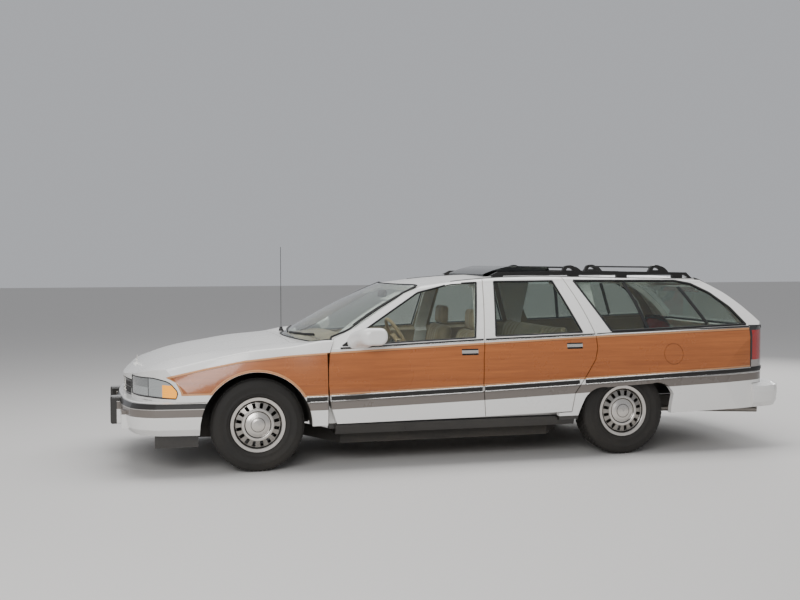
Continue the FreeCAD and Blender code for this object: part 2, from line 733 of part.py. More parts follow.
# Gutters along the fenders' inner edges, on which the closed hood rests.
gutter_top = nose_envelope(fender_wall, fender_wall + SEAT, 130.0)
gutter_low = nose_envelope(fender_wall + 12, fender_wall + 12, 120.0)
HOOD_LEDGE = [(p[0], p[1] + 22) for p in HOOD_EDGE]
ledge = gutter_top.cut(gutter_low).common(hood_cut).cut(plan_prism(HOOD_LEDGE + [(700, 10), (-1200, 10)], 600, HIGH))
ledge = ledge.common(box(-800, hood_back, -800, 0, 600, HIGH))
HOOD_RIM = [(p[0], p[1] - 14) for p in HOOD_EDGE]
ledge_root = nose_envelope(10, 10, 125.0).cut(gutter_low).cut(hood_cut).common(plan_prism(HOOD_RIM + [(700, 10), (-1200, 10)], 600, HIGH))
ledge_root = ledge_root.common(box(-800, hood_back, -800, 0, 600, HIGH))

bumper_zone = side_prism(
    [(-1300, 0), (arch_x, 0), (arch_x, size("bumper_top")), (-1300, size("bumper_top"))], -WIDE, 10
)
headlamp_zone = side_prism(
    [(-1200, 568), (-600, 572), (-588, 600), (-610, 650, 8), (-690, 700, 12), (-780, 712, 4), (-1200, 690)], -WIDE, -418
)
grille_half_width = size("grille_half")
fender = nose_shell.cut(hood_cut).cut(front_door_open)
fender = fender.common(
    side_prism(
        [(-1300, 250), (front_edge + 60, 343), (front_edge + 60, HIGH), (-1300, HIGH)], -WIDE, 10
    )
)
fender = fender.cut(box(front_edge - GAP / 2, 900, -WIDE, 10, 100, 880)).cut(bumper_zone).cut(front_arch)
fender = fender.cut(box(-1300, 900, -grille_half_width, 10, 0, HIGH))
headlamp = fender.common(headlamp_zone)
fender = fender.cut(headlamp_zone)
fender = fender.multiFuse([ledge_root, ledge])

# Grille: a surround cut from the nose's own skin, upright bars set back inside it
# and one slim bar across, all of one casting.
frame_width, bar_width = size("grille_frame"), size("grille_bar")
bar_pitch = size("grille_pitch")
grille_low, grille_high = size("bumper_top"), 664
nose_face = nose_shell.common(box(-1300, -700, -grille_half_width, 0, grille_low, grille_high))
mouth = box(-1300, -700, -grille_half_width + frame_width, 10, grille_low + frame_width, grille_high - frame_width)
bar_sheet = nose_face.cut(plan_prism(nose_plan(20), 0, HIGH)).common(plan_prism(nose_plan(6), 0, HIGH))
bar_cutters = []
for step in range(int((grille_half_width - frame_width) / bar_pitch) + 1):
    at = -step * bar_pitch
    bar_cutters.append(box(-1300, -700, at - bar_width / 2, min(at + bar_width / 2, 0), 0, HIGH))
middle = (grille_low + grille_high) / 2
bar_cutters.append(box(-1300, -700, -grille_half_width, 0, middle - 3, middle + 3))
grille_parts = solids_of(bar_sheet.common(bar_cutters[0].multiFuse(bar_cutters[1:])), 50)
grille_half = nose_face.cut(mouth).multiFuse(grille_parts)
grille = grille_half.fuse(mirrored(grille_half))
add_piece("front_fenders", pair(fender))
add_piece("hood", Part.makeCompound(solids_of(hood)))
add_piece("cowl_panel", Part.makeCompound(solids_of(cowl)))
add_piece("headlamps", pair(headlamp))
add_piece("grille", Part.makeCompound(solids_of(grille)))



# Rubber seals between each closed door and the ring.
seal_gap = size("seal_gap")
seal_outer = cabin_envelope(door_wall + seal_gap, frame_wall + seal_gap, roof_wall + seal_gap, 145.0)
seal_band = seal_outer.cut(pillar_outer).cut(windshield_back).cut(rear_arch)
seals = []
for outline, slopes in ((front_door_outline, front_door_slopes), (rear_door_outline, rear_door_slopes)):
    seal = seal_band.common(door_cutter(outline, slopes, -14)).cut(door_cutter(outline, slopes, -28))
    seals += solids_of(seal.cut(box(0, 4400, -708, 10, 1000, HIGH)))
add_piece("door_seals", pair(Part.makeCompound(seals)))

# Tail: the window frame's ring, the lifting window and the drop-down tailgate.
def inset_body(low, upper, floor):
    """Half of the cabin's form set in by a depth, ended by the tail's own outlines."""
    form = cabin_envelope(low, upper, upper, floor)
    return form.common(plan_prism(tail_plan(low), 0, HIGH)).common(side_prism(tail_side(upper), -WIDE, 10))


tail_half = size("tailgate_half")
tail_top = size("tailgate_top")
tail_low = size("tailgate_bottom")
roof_back = size("roof_back")


def tail_seam(x, rise):
    """Height of the slanting seam between the tailgate and its window."""
    return tail_top - 2 + 0.45 * (x - TAIL + 72) + rise


window_side = [
    (3900, tail_seam(3900, 6)),
    (4500, tail_seam(4500, 6)),
    (4500, 1700),
    (roof_back + 6, 1700),
    (roof_back + 6, 1180),
]
window_zone = side_prism(window_side, -tail_half + 6, 0)
window_depth = size("tail_glass")
window_back = inset_body(window_depth, window_depth, 120.0)
hatch_half = body_skin.cut(window_back).common(window_zone)
hatch = hatch_half.fuse(mirrored(hatch_half))
ring_face = inset_body(window_depth + SEAT, window_depth + SEAT, 118.0)
ring_back = inset_body(50, 50, 116.0)
hatch_ring = ring_face.cut(ring_back).common(box(roof_back, 4500, -tail_half - 3, 0, 1020, HIGH))
hatch_hole = box(roof_back + 52, 4500, -tail_half + 48, 10, 900, HIGH)
hatch_ring = hatch_ring.cut(hatch_hole)
hatch_ring = hatch_ring.fuse(mirrored(hatch_ring))
gate_zone = side_prism(
    [(3900, tail_low), (4500, tail_low), (4500, tail_seam(4500, 0)), (3900, tail_seam(3900, 0))], -tail_half + 6, 0
)
gate_half = body_shell.common(gate_zone)
tailgate = gate_half.fuse(mirrored(gate_half))
add_piece("tailgate", Part.makeCompound(solids_of(tailgate)))
add_piece("tailgate_window", Part.makeCompound(solids_of(hatch)))
add_piece("tailgate_opening", Part.makeCompound(solids_of(hatch_ring)))


def cover_form(plan, levels, inset):
    """A bumper cover's solid: plan outlines stacked over levels of (z, own inset)."""
    wires = []
    for z, own in levels:
        outline = plan(inset + own)
        wires.append(wire_of(outline, lambda u, v, z=z: Vector(u, v, z)))
    return Part.makeLoft(wires, True, True)


def front_cover_plan(inset):
    """Front bumper cover seen from above, half the car."""
    face = FRONT_FACE + 50 + inset
    return [
        (arch_x - 300, 0),
        (face, 0),
        (face + 22, -420 + inset * 0.2, 4),
        (face + 90, -800 + inset * 0.6, 14),
        (face + 260, -958 + inset, 22),
        (arch_x - 360, -1000 + inset, 6),
        (arch_x - 300, -1000 + inset),
    ]


def rear_cover_plan(inset):
    """Rear bumper cover seen from above, half the car."""
    return [
        (REAR_FACE - 386, 0),
        (REAR_FACE - 386, -990 + inset),
        (REAR_FACE - 160, -935 + inset, 8),
        (REAR_FACE - 38 - inset * 0.7, -760 + inset * 0.7, 22),
        (REAR_FACE - inset, 0, 14),
    ]


RAIL_FRONT, RAIL_REAR = FRONT_FACE + 200, REAR_FACE - 139
cover_top = size("bumper_top")
cover_low = size("bumper_low")
FRONT_LEVELS = [(cover_low, 55), (cover_low + 50, 14), (430, 0), (505, 0), (cover_top - 6, 18), (cover_top, 30)]
front_cover = cover_form(front_cover_plan, FRONT_LEVELS, 0)
front_hollow = cover_form(front_cover_plan, [(cover_low - 1, 50)] + FRONT_LEVELS[:-2] + [(cover_top - 20, 20)], 40)
front_core = cover_form(front_cover_plan, [(cover_low - 2, 110), (cover_top + 2, 110)], 0)
house_room = Part.makeCylinder(arch_r + 10 + SEAT, 480, Vector(arch_x, -940 - SEAT, arch_z), Vector(0, 1, 0))
front_cover = front_cover.cut(front_hollow).cut(front_core).cut(front_arch).cut(house_room)
guard_y, guard_half = 330.0, 45.0
guard = box(FRONT_FACE, FRONT_FACE + 130, -guard_y - guard_half, -guard_y + guard_half, 326, 540)
guard = guard.makeFillet(16, guard.Edges)
front_half = front_cover.fuse(guard)
bumper_bar = box(FRONT_FACE + 80, RAIL_FRONT, -700, 0, 340, 470)
front_half = front_half.fuse(bumper_bar)
flap = box(-748, -436, -862, -842, 205, cover_low + 30)
front_half = front_half.fuse(flap)
front_bumper = front_half.fuse(mirrored(front_half))
add_piece("front_bumper", Part.makeCompound(solids_of(front_bumper)))

REAR_LEVELS = [(345, 40), (385, 8), (470, 0), (520, 6), (546, 60)]
rear_cover = cover_form(rear_cover_plan, REAR_LEVELS, 0)
rear_hollow = cover_form(rear_cover_plan, [(344, 40), (385, 8), (470, 0), (526, 6)], 45)
rear_cover = rear_cover.cut(rear_hollow).cut(quarter)
bracket = box(RAIL_REAR, REAR_FACE - 30, -560, -480, 340, 410)
rear_half = rear_cover.fuse(bracket)
rear_bumper = rear_half.fuse(mirrored(rear_half))
add_piece("rear_bumper", Part.makeCompound(solids_of(rear_bumper)))

# Perimeter frame: one bent rail a side joined by cross members.
RAIL_PATH = [
    (RAIL_FRONT, -395, 300),
    (-500, -395, 210),
    (380, -395, 200),
    (640, -742, 172),
    (2330, -742, 172),
    (2560, -520, 250),
    (2760, -520, 440),
    (3080, -520, 440),
    (3320, -520, 330),
    (RAIL_REAR, -520, 330),
]
rail = beam(RAIL_PATH, size("rail_width"), size("rail_height"))
frame_parts = [rail, mirrored(rail)]
CROSS_MEMBERS = [(-760, 395, 262, 80, 70), (-60, 395, 196, 150, 90), (1000, 742, 180, 90, 60), (2420, 655, 178, 70, 60), (3360, 520, 340, 70, 70), (4290, 520, 340, 60, 70)]
for x, half, z, length, height in CROSS_MEMBERS:
    frame_parts.append(box(x - length / 2, x + length / 2, -half, half, z, z + height))
frame = frame_parts[0].multiFuse(frame_parts[1:])
add_piece("frame", frame)

# Floor: cabin pan with tunnel, seat step, load floor and rear wheel tubs.
floor_top = size("floor_top")
sheet_thick = size("floor_sheet")
load_top = size("load_floor_top")
FLOOR_SIDE = [
    (450, 560),
    (620, floor_top - sheet_thick),
    (2540, floor_top - sheet_thick),
    (2600, load_top - sheet_thick),
    (4240, load_top - sheet_thick),
    (4240, load_top),
    (2592, load_top),
    (2532, floor_top),
    (626, floor_top),
    (462, 560),
]
floor = side_prism(FLOOR_SIDE, -789.7, 789.7)
tub_cut = box(2480, 4300, -800, -652, 300, 900)
floor = floor.cut(tub_cut).cut(mirrored(tub_cut))
sill_top = tail_low - SEAT
rear_panel = box(4180, 4192, -645, 645, 546 + SEAT, load_top)
rear_sill = box(4180, TAIL + 33, -645, 645, 546 + SEAT, sill_top)
floor = floor.multiFuse([rear_panel, rear_sill])
tunnel_out = side_prism([(400, 300), (2560, 300), (2560, 452), (900, 470), (400, 640)], -150, 150)
tunnel_in = side_prism([(300, 200), (2700, 200), (2700, 440), (900, 458), (300, 640)], -138, 138)
floor = floor.cut(tunnel_in).fuse(tunnel_out.cut(tunnel_in))
floor = floor.cut(box(300, 3000, -138, 138, 200, 440))
rear_y = size("rear_track") / 2
tyre_r = size("tyre_radius")
tub = Part.makeCylinder(tub_radius, 948 - 652, Vector(WHEELBASE, -948, axle_z), Vector(0, 1, 0))
tub = tub.cut(Part.makeCylinder(tub_radius - 12, 948 - 664, Vector(WHEELBASE, -949, axle_z), Vector(0, 1, 0)))
tub = tub.cut(box(WHEELBASE - 500, WHEELBASE + 500, -1000, -600, -100, 560)).common(quarter_hollow)
tub_shelf = box(WHEELBASE - 345, 4240, -945, -652, load_top - sheet_thick, load_top)
tub_shelf = tub_shelf.cut(Part.makeCylinder(tub_radius - 7, 500, Vector(WHEELBASE, -1100, axle_z), Vector(0, 1, 0)))
tub_shelf = tub_shelf.cut(ring)
tub_shelf = tub_shelf.common(quarter_hollow)
floor = floor.multiFuse([tub, mirrored(tub)] + solids_of(tub_shelf) + solids_of(mirrored(tub_shelf)))
add_piece("floor_pan", Part.makeCompound(solids_of(floor)))

# Firewall, inner aprons, wheelhouses and radiator support round the engine.
inner_nose = nose_envelope(fender_wall + SEAT, fender_wall + SEAT, 110.0)
firewall = box(440, 452, -860, 0, 430, 925).common(inner_nose)
firewall = firewall.fuse(mirrored(firewall))
apron = side_prism([(-790, 300), (446, 300), (446, 880), (-300, 850), (-790, 700)], -470, -458)
support = box(-800, -788, -470, 470, 300, 690)
cowl_shelf = box(290, 446, -780, 780, 905, 917)
bay = firewall.cut(side_prism([(300, 200), (500, 200), (500, 610), (300, 610)], -150, 150))
# A steered tyre stays inside a ball round its kingpin, so the wheelhouse bulges with it.
tyre_outside = (size("front_track") + size("tyre_width")) / 2 - size("kingpin_offset")
turned_reach = math.hypot(size("tyre_radius"), tyre_outside) + size("turned_tyre_room")
kingpin_middle = Vector(0, -size("kingpin_offset"), size("tyre_radius"))
house_sheet = 10
house = Part.makeCylinder(arch_r + house_sheet, 480, Vector(arch_x, -940, arch_z), Vector(0, 1, 0))
bulge = Part.makeSphere(turned_reach + house_sheet, kingpin_middle).common(box(-500, 500, -940, -460, 0, 900))
house = house.fuse(bulge)
house = house.cut(Part.makeCylinder(arch_r, 490, Vector(arch_x, -945, arch_z), Vector(0, 1, 0)))
house = house.cut(Part.makeSphere(turned_reach, kingpin_middle))
house = house.cut(box(arch_x - 500, arch_x + 500, -1000, 0, -200, arch_z))
house = house.common(inner_nose)
radiator = box(-788, -730, -330, 330, 320, 660)
bay = bay.multiFuse([apron, mirrored(apron), support, cowl_shelf, house, mirrored(house), radiator])
perch_hole = box(-60 - SEAT, 60 + SEAT, -480, -400, 290, 502 + SEAT)
bay = bay.cut(frame).cut(floor).cut(perch_hole).cut(mirrored(perch_hole))
add_piece("engine_bay", bay)

# Engine: a plain block with its sump on the front cross member.
engine_block = bound_box(
    "engine_block",
    "-Sizes.engine_length / 2",
    "Sizes.engine_length / 2",
    "-Sizes.engine_width / 2",
    "Sizes.engine_width / 2",
    "Sizes.engine_bottom",
    "Sizes.engine_bottom + Sizes.engine_height",
)
doc.recompute()
block_round = doc.addObject("Part::Chamfer", "engine_block_chamfered")
block_round.Base = engine_block
block_round.Edges = [
    (index, 40, 40)
    for index, edge in enumerate(engine_block.Shape.Edges, start=1)
    if abs(edge.CenterOfMass.x) < 1
]
sump = bound_box(
    "sump",
    "-250",
    "200",
    "-Sizes.sump_width / 2",
    "Sizes.sump_width / 2",
    "Sizes.sump_bottom",
    "Sizes.engine_bottom + 5",
)
engine = keep_bound(joined("engine", [block_round, sump]), "engine")

# Driveline: gearbox behind the engine and the propeller shaft to the rear axle.
LENGTHWISE = Rotation(Vector(0, 1, 0), 90)
driveline_parts = []
# Columns: name, radius, front end, rear end, height of its middle line.
for name, radius, x0, x1, z in (
    ("bell_housing", "105", "Sizes.engine_length / 2", "600", "Sizes.engine_bottom + 90"),
    ("gearbox", "68", "598", "930", "Sizes.propshaft_height + 30"),
    ("propshaft", "Sizes.propshaft_radius", "925", "Sizes.wheelbase - 144", "Sizes.propshaft_height"),
):
    places = {
        "Radius": radius,
        "Height": "(%s) - (%s)" % (x1, x0),
        "Placement.Base.x": x0,
        "Placement.Base.z": z,
    }
    driveline_parts.append(bound("Part::Cylinder", name, places, LENGTHWISE))
driveline = keep_bound(joined("driveline", driveline_parts), "driveline")

# Rear axle: tube, differential, drums, spindles and the seats of the springs.
hub_r = size("hub_radius")
play = size("bearing_clearance")
wheel_half = size("rim_width") / 2
axle_parts = [cross_rod("axle_tube", "Sizes.axle_tube_radius", "-690", "690", "Sizes.wheelbase", "Sizes.tyre_radius")]
axle_parts.append(
    bound(
        "Part::Sphere",
        "differential",
        {
            "Radius": "Sizes.differential_radius",
            "Placement.Base.x": "Sizes.wheelbase",
            "Placement.Base.z": "Sizes.tyre_radius",
        },
    )
)
nose_places = {
    "Radius": "60",
    "Height": "144 - Sizes.seat_clearance",
    "Placement.Base.x": "Sizes.wheelbase - 144 + Sizes.seat_clearance",
    "Placement.Base.z": "Sizes.propshaft_height",
}
axle_parts.append(bound("Part::Cylinder", "differential_nose", nose_places, LENGTHWISE))
# Columns: name, radius, inner end, outer end, both from the middle plane.
HALF_TRACK = "Sizes.rear_track / 2"
for name, radius, inner, outer in (
    ("rear_spindle", "Sizes.hub_radius - Sizes.bearing_clearance", "680", HALF_TRACK + " + Sizes.rim_width / 2 - 16"),
    ("rear_flange", "Sizes.flange_radius", HALF_TRACK + " - 24", HALF_TRACK + " + Sizes.rim_width / 2 - 62 - Sizes.seat_clearance"),
    ("rear_drum", "Sizes.drum_radius", "690", HALF_TRACK + " - 20"),
):
    axle_parts.append(cross_rod(name + "_right", radius, inner, outer, "Sizes.wheelbase", "Sizes.tyre_radius"))
    axle_parts.append(cross_rod(name + "_left", radius, "-(%s)" % outer, "-(%s)" % inner, "Sizes.wheelbase", "Sizes.tyre_radius"))
for side, y in (("left", "-520"), ("right", "520")):
    spring_places = {
        "Radius": "50",
        "Height": "440 - Sizes.seat_clearance - Sizes.tyre_radius - 30",
        "Placement.Base.x": "Sizes.wheelbase",
        "Placement.Base.y": y,
        "Placement.Base.z": "Sizes.tyre_radius + 30",
    }
    axle_parts.append(bound("Part::Cylinder", "spring_" + side, spring_places))
keep_bound(joined("rear_axle", axle_parts), "rear_axle")

# Fuel tank under the load floor.
tank_block = bound_box(
    "tank_block",
    "Sizes.tank_front",
    "Sizes.tank_front + Sizes.tank_length",
    "-Sizes.tank_width / 2",
    "Sizes.tank_width / 2",
    "Sizes.tank_bottom",
    "Sizes.load_floor_top - Sizes.floor_sheet",
)
doc.recompute()
fuel_tank = doc.addObject("Part::Fillet", "fuel_tank")
fuel_tank.Base = tank_block
tank_round = size("tank_round")
fuel_tank.Edges = [
    (index, tank_round, tank_round)
    for index, edge in enumerate(tank_block.Shape.Edges, start=1)
    if edge.CenterOfMass.z < load_top - sheet_thick - 1
]
keep_bound(fuel_tank, "fuel_tank")

# Exhaust: manifold, pipe and muffler on the left, out ahead of the rear bumper.
EXHAUST_Y = -330
PIPE_PATH = [
    (200, -300, 465),
    (640, EXHAUST_Y, size("exhaust_height")),
    (2500, EXHAUST_Y, size("exhaust_height")),
    (2760, -430, 440),
    (3100, -430, 440),
    (3300, -430, 296),
    (3600, -430, 290),
    (4295, -700, 290),
]
exhaust_parts = [
    bound_box("manifold", "-200", "260", "-320", "-Sizes.engine_width / 2", "430", "500"),
    bound(
        "Part::Cylinder",
        "muffler",
        {
            "Radius": "Sizes.muffler_radius",
            "Height": "460",
            "Placement.Base.x": "1900",
            "Placement.Base.y": str(EXHAUST_Y),
            "Placement.Base.z": "Sizes.exhaust_height - 15",
        },
        LENGTHWISE,
    ),
]
for index, (start, end) in enumerate(zip(PIPE_PATH[:-1], PIPE_PATH[1:])):
    way = Vector(*end) - Vector(*start)
    pipe = bound("Part::Cylinder", "pipe_%d" % index, {"Radius": "Sizes.exhaust_radius"})
    pipe.Height = way.Length
    pipe.Placement = Placement(Vector(*start), Rotation(Vector(0, 0, 1), way))
    exhaust_parts.append(pipe)
for index, point in enumerate(PIPE_PATH[1:-1]):
    bend = bound("Part::Sphere", "pipe_bend_%d" % index, {"Radius": "Sizes.exhaust_radius + 1.5"})
    bend.Placement = Placement(Vector(*point), Rotation())
    exhaust_parts.append(bend)
keep_bound(joined("exhaust", exhaust_parts), "exhaust")

# Front suspension arms with the sockets that hold the knuckles.
kp_y = size("kingpin_offset")
kp_r = size("kingpin_radius")
front_y = size("front_track") / 2


def arm(z, thick, inner_y, spread):
    """A wishbone from the frame to the kingpin, with the kingpin's socket."""
    outline = [(-34, -kp_y), (34, -kp_y), (spread, -inner_y), (-spread, -inner_y)]
    plate = plan_prism(outline, z, z + thick)
    eye = Part.makeCylinder(30, thick, Vector(0, -kp_y, z))
    gap = plan_prism([(-24, -kp_y + 60), (24, -kp_y + 60), (spread - 46, -inner_y - 24), (46 - spread, -inner_y - 24)], z - 1, z + thick + 1)
    bore = Part.makeCylinder(kp_r + size("pivot_clearance"), thick + 2, Vector(0, -kp_y, z - 1))
    return plate.fuse(eye).cut(gap).cut(bore)


rail_out = 395 + 40
lower_arm = arm(205, 26, rail_out, 150)
upper_arm = arm(480, 22, 470, 110)
perch = box(-60, 60, -470, -400, 280, 502).cut(frame)
suspension_half = lower_arm.multiFuse([upper_arm, perch])
add_piece("front_suspension", pair(suspension_half))

# Knuckles with their pivot pins, spindles and brake discs.
FRONT_PLANE = "Sizes.front_track / 2"
knuckle_parts = [
    bound_box(
        "knuckle_bar",
        "-28",
        "28",
        "-Sizes.kingpin_offset - 22",
        "-Sizes.kingpin_offset + 22",
        "231 + Sizes.seat_clearance",
        "480 - Sizes.seat_clearance",
    )
]
for name, low, high in (("pin_low", "206", "240"), ("pin_high", "470", "500")):
    pin_places = {
        "Radius": "Sizes.kingpin_radius",
        "Height": "(%s) - (%s)" % (high, low),
        "Placement.Base.y": "-Sizes.kingpin_offset",
        "Placement.Base.z": low,
    }
    knuckle_parts.append(bound("Part::Cylinder", name, pin_places))
# Columns: name, radius, inner end, outer end, both from the middle plane.
for name, radius, inner, outer in (
    ("front_spindle", "Sizes.hub_radius - Sizes.bearing_clearance", "Sizes.kingpin_offset", FRONT_PLANE + " + Sizes.rim_width / 2 - 16"),
    ("front_flange", "Sizes.flange_radius", FRONT_PLANE + " - 45", FRONT_PLANE + " + Sizes.rim_width / 2 - 62 - Sizes.seat_clearance"),
    ("brake_disc", "Sizes.disc_radius", FRONT_PLANE + " - 36", FRONT_PLANE + " - 12"),
):
    knuckle_parts.append(cross_rod(name, radius, "-(%s)" % outer, "-(%s)" % inner, "0", "Sizes.tyre_radius"))
knuckle_left = keep_bound(joined("knuckle_left", knuckle_parts), "knuckle_left")
knuckle_right = doc.addObject("Part::Mirroring", "knuckle_right")
knuckle_right.Label = "knuckle_right"
knuckle_right.Source = knuckle_left
knuckle_right.Normal = Vector(0, 1, 0)
bound_pieces.append(knuckle_right)


def sketch_on(body, name, plane, corners):
    """A closed sketch on one of a body's planes, with each corner bound to the sheet."""
    sketch = body.newObject("Sketcher::SketchObject", name)
    base = [feature for feature in body.Origin.OriginFeatures if feature.Role == plane][0]
    sketch.AttachmentSupport = [(base, "")]
    sketch.MapMode = "FlatFace"
    points = [Vector(float(sheet.evalExpression(u)), float(sheet.evalExpression(v)), 0) for u, v in corners]
    for index, point in enumerate(points):
        sketch.addGeometry(Part.LineSegment(point, points[(index + 1) % len(points)]), False)
    for index in range(len(points)):
        sketch.addConstraint(Sketcher.Constraint("Coincident", index, 2, (index + 1) % len(points), 1))
    for index, (u, v) in enumerate(corners):
        point = points[index]
        for kind, expression, distance in (("DistanceX", u, point.x), ("DistanceY", v, point.y)):
            place = sketch.addConstraint(Sketcher.Constraint(kind, -1, 1, index, 1, distance))
            sketch.setExpression("Constraints[%d]" % place, expression)
    return sketch


# Tyre and wheel sections. Columns: outboard of the wheel's middle plane, radius.
HALF_TYRE, HALF_RIM, BEAD = "Sizes.tyre_width / 2", "Sizes.rim_width / 2", "Sizes.rim_radius"
TYRE_SECTION = [
    ("-(%s + 2)" % HALF_RIM, BEAD + " + Sizes.rim_lip + Sizes.seat_clearance"),
    ("%s + 2" % HALF_RIM, BEAD + " + Sizes.rim_lip + Sizes.seat_clearance"),
    (HALF_TYRE + " - 5", BEAD + " + Sizes.rim_lip + 12"),
    (HALF_TYRE + " - 5", "Sizes.tyre_radius - 17"),
    (HALF_TYRE + " - 16", "Sizes.tyre_radius"),
    ("-(%s - 16)" % HALF_TYRE, "Sizes.tyre_radius"),
    ("-(%s - 5)" % HALF_TYRE, "Sizes.tyre_radius - 17"),
    ("-(%s - 5)" % HALF_TYRE, BEAD + " + Sizes.rim_lip + 12"),
]
RIM_SECTION = [
    ("-(%s)" % HALF_RIM, BEAD + " + Sizes.rim_lip"),
    ("-(%s)" % HALF_RIM, BEAD + " - 14"),
    (HALF_RIM + " - 52", BEAD + " - 24"),
    (HALF_RIM + " - 44", "Sizes.cap_radius + 4"),
    (HALF_RIM + " - 62", "60"),
    (HALF_RIM + " - 62", "Sizes.hub_radius"),
    (HALF_RIM + " - 15.5", "Sizes.hub_radius"),
    (HALF_RIM + " - 15.5", "0"),
    (HALF_RIM + " + 6", "0"),
    (HALF_RIM + " + 3", "34"),
    (HALF_RIM + " - 6", "Sizes.cap_radius - 20"),
    (HALF_RIM + " - 14", "Sizes.cap_radius"),
    (HALF_RIM + " - 7", "Sizes.cap_radius + 12"),
    (HALF_RIM + " - 9", "Sizes.slot_inner"),
    (HALF_RIM + " - 20", "Sizes.slot_outer + 2"),
    (HALF_RIM + " - 2", BEAD + " - 8"),
    (HALF_RIM, BEAD + " + Sizes.rim_lip"),
    (HALF_RIM + " - 6", BEAD + " + Sizes.rim_lip"),
    (HALF_RIM + " - 8", BEAD),
    ("20", BEAD),
    ("2", BEAD + " - 13"),
    ("-34", BEAD + " - 13"),
    ("-50", BEAD),
    ("-(%s - 8)" % HALF_RIM, BEAD),
    ("-(%s - 6)" % HALF_RIM, BEAD + " + Sizes.rim_lip"),
]
SLOT_SKETCH = [
    ("-Sizes.slot_width / 2", "Sizes.slot_inner + 5"),
    ("0", "Sizes.slot_inner"),
    ("Sizes.slot_width / 2", "Sizes.slot_inner + 5"),
    ("Sizes.slot_width / 2", "Sizes.slot_outer"),
    ("-Sizes.slot_width / 2", "Sizes.slot_outer"),
]
SLOT_COUNT = 16


def turned_body(label, section):
    """A body turned about the wheel's axle from a section of straight edges."""
    body = doc.addObject("PartDesign::Body", label)
    body.Label = label
    sketch = sketch_on(body, label + "_section", "YZ_Plane", section)
    turn = body.newObject("PartDesign::Revolution", label + "_turned")
    turn.Profile = sketch
    turn.ReferenceAxis = (sketch, ["H_Axis"])
    turn.Angle = 360
    sketch.Visibility = False
    body.Tip = turn
    return body


def slotted(body, label):
    """The wheel's face pierced by its ring of slots."""
    sketch = sketch_on(body, label + "_slot", "XZ_Plane", SLOT_SKETCH)
    sketch.AttachmentOffset = Placement(Vector(0, 0, 0), Rotation(Vector(0, 0, 1), 180 / SLOT_COUNT))
    sketch.setExpression("AttachmentOffset.Base.z", "-(%s - 66)" % HALF_RIM)
    pocket = body.newObject("PartDesign::Pocket", label + "_slot_cut")
    pocket.Profile = sketch
    pocket.Length = 90
    ring = body.newObject("PartDesign::PolarPattern", label + "_slots")
    ring.Originals = [pocket]
    ring.Axis = (sketch, ["N_Axis"])
    ring.Angle = 360
    ring.Occurrences = SLOT_COUNT
    sketch.Visibility = False
    body.Tip = ring


# Columns: axle, its place along the car, its track.
for end, x, track in (("front", "0", "Sizes.front_track"), ("rear", "Sizes.wheelbase", "Sizes.rear_track")):
    for side, sign, turn in (("left", "-", 180), ("right", "", 0)):
        for name, section in (("tyre", TYRE_SECTION), ("rim", RIM_SECTION)):
            label = "%s_%s_%s" % (name, end, side)
            body = turned_body(label, section)
            if name == "rim":
                slotted(body, label)
            body.Placement = Placement(Vector(0, 0, 0), Rotation(Vector(0, 0, 1), turn))
            body.setExpression("Placement.Base.x", "%s + %s" % (ORIGIN_X, x))
            body.setExpression("Placement.Base.y", "%s%s / 2" % (sign, track))
            body.setExpression("Placement.Base.z", "Sizes.tyre_radius")
            bound_pieces.append(body)

# Cabin: dashboard, seats and steering wheel.
DASH_SIDE = [(452, 700), (800, 690), (880, 640), (930, 660), (930, 860, 10), (860, 940, 14), (700, 958, 6), (600, 940), (452, 925)]
dash = side_prism(DASH_SIDE, -780, 780).cut(windshield_block(20)).cut(fender_room).cut(mirrored(fender_room))
add_piece("dashboard", dash)


def seat_form(x, y0, y1, z0, recline, back_top, head):
    """One upholstered seat: plinth, cushion, back and head restraints."""
    plinth = box(x + 60, x + 430, y0 + 50, y1 - 50, z0, z0 + 90)
    cushion = box(x, x + 520, y0, y1, z0 + 80, z0 + 230)
    cushion = cushion.makeFillet(45, cushion.Edges)
    back = side_prism(
        [(x + 420, z0 + 150), (x + 560, z0 + 130), (x + 560 + recline, back_top), (x + 450 + recline, back_top)], y0, y1
    )
    back = back.makeFillet(40, back.Edges)
    parts = [cushion, back]
    for y in head:
        rest = box(x + 455 + recline, x + 555 + recline, y - 120, y + 120, back_top + 10, back_top + 170)
        rest = rest.makeFillet(36, rest.Edges)
        stem = box(x + 490 + recline, x + 520 + recline, y - 50, y + 50, back_top - 60, back_top + 60)
        parts += [rest, stem]
    return plinth.multiFuse(parts)


front_seat = seat_form(size("front_seat_x"), -690, -170, floor_top + SEAT, 90, 1010, [-430])
add_piece("front_seats", pair(front_seat))
rear_bench = seat_form(size("rear_seat_x"), -690, 690, floor_top + SEAT, 100, 1050, [])
rear_bench = rear_bench.cut(box(1700, 2700, -151, 151, 200, 471))
add_piece("rear_seat", rear_bench)

rake = math.radians(size("steering_rake"))
steer_c = Vector(size("steering_x"), -size("steering_y"), size("steering_z"))
steer_axis = Vector(math.cos(rake), 0, math.sin(rake))
rim_ring = bound(
    "Part::Torus",
    "steering_rim",
    {"Radius1": "Sizes.steering_radius", "Radius2": "Sizes.steering_tube"},
)
boss = bound("Part::Cylinder", "steering_boss", {"Radius": "Sizes.steering_radius * 0.36"})
boss.Height = 36
spoke = bound(
    "Part::Box",
    "steering_spoke",
    {"Length": "24", "Width": "2 * Sizes.steering_radius - 10", "Height": "46"},
)
rim_ring.Placement = Placement(steer_c, Rotation(Vector(0, 0, 1), steer_axis))
boss.Placement = Placement(steer_c - steer_axis * 40, Rotation(Vector(0, 0, 1), steer_axis))
spoke_turn = Rotation(Vector(0, 1, 0), -size("steering_rake"))
spoke_corner = spoke_turn.multVec(Vector(-12, -size("steering_radius") + 5, -23))
spoke.Placement = Placement(steer_c - steer_axis * 14 + spoke_corner, spoke_turn)
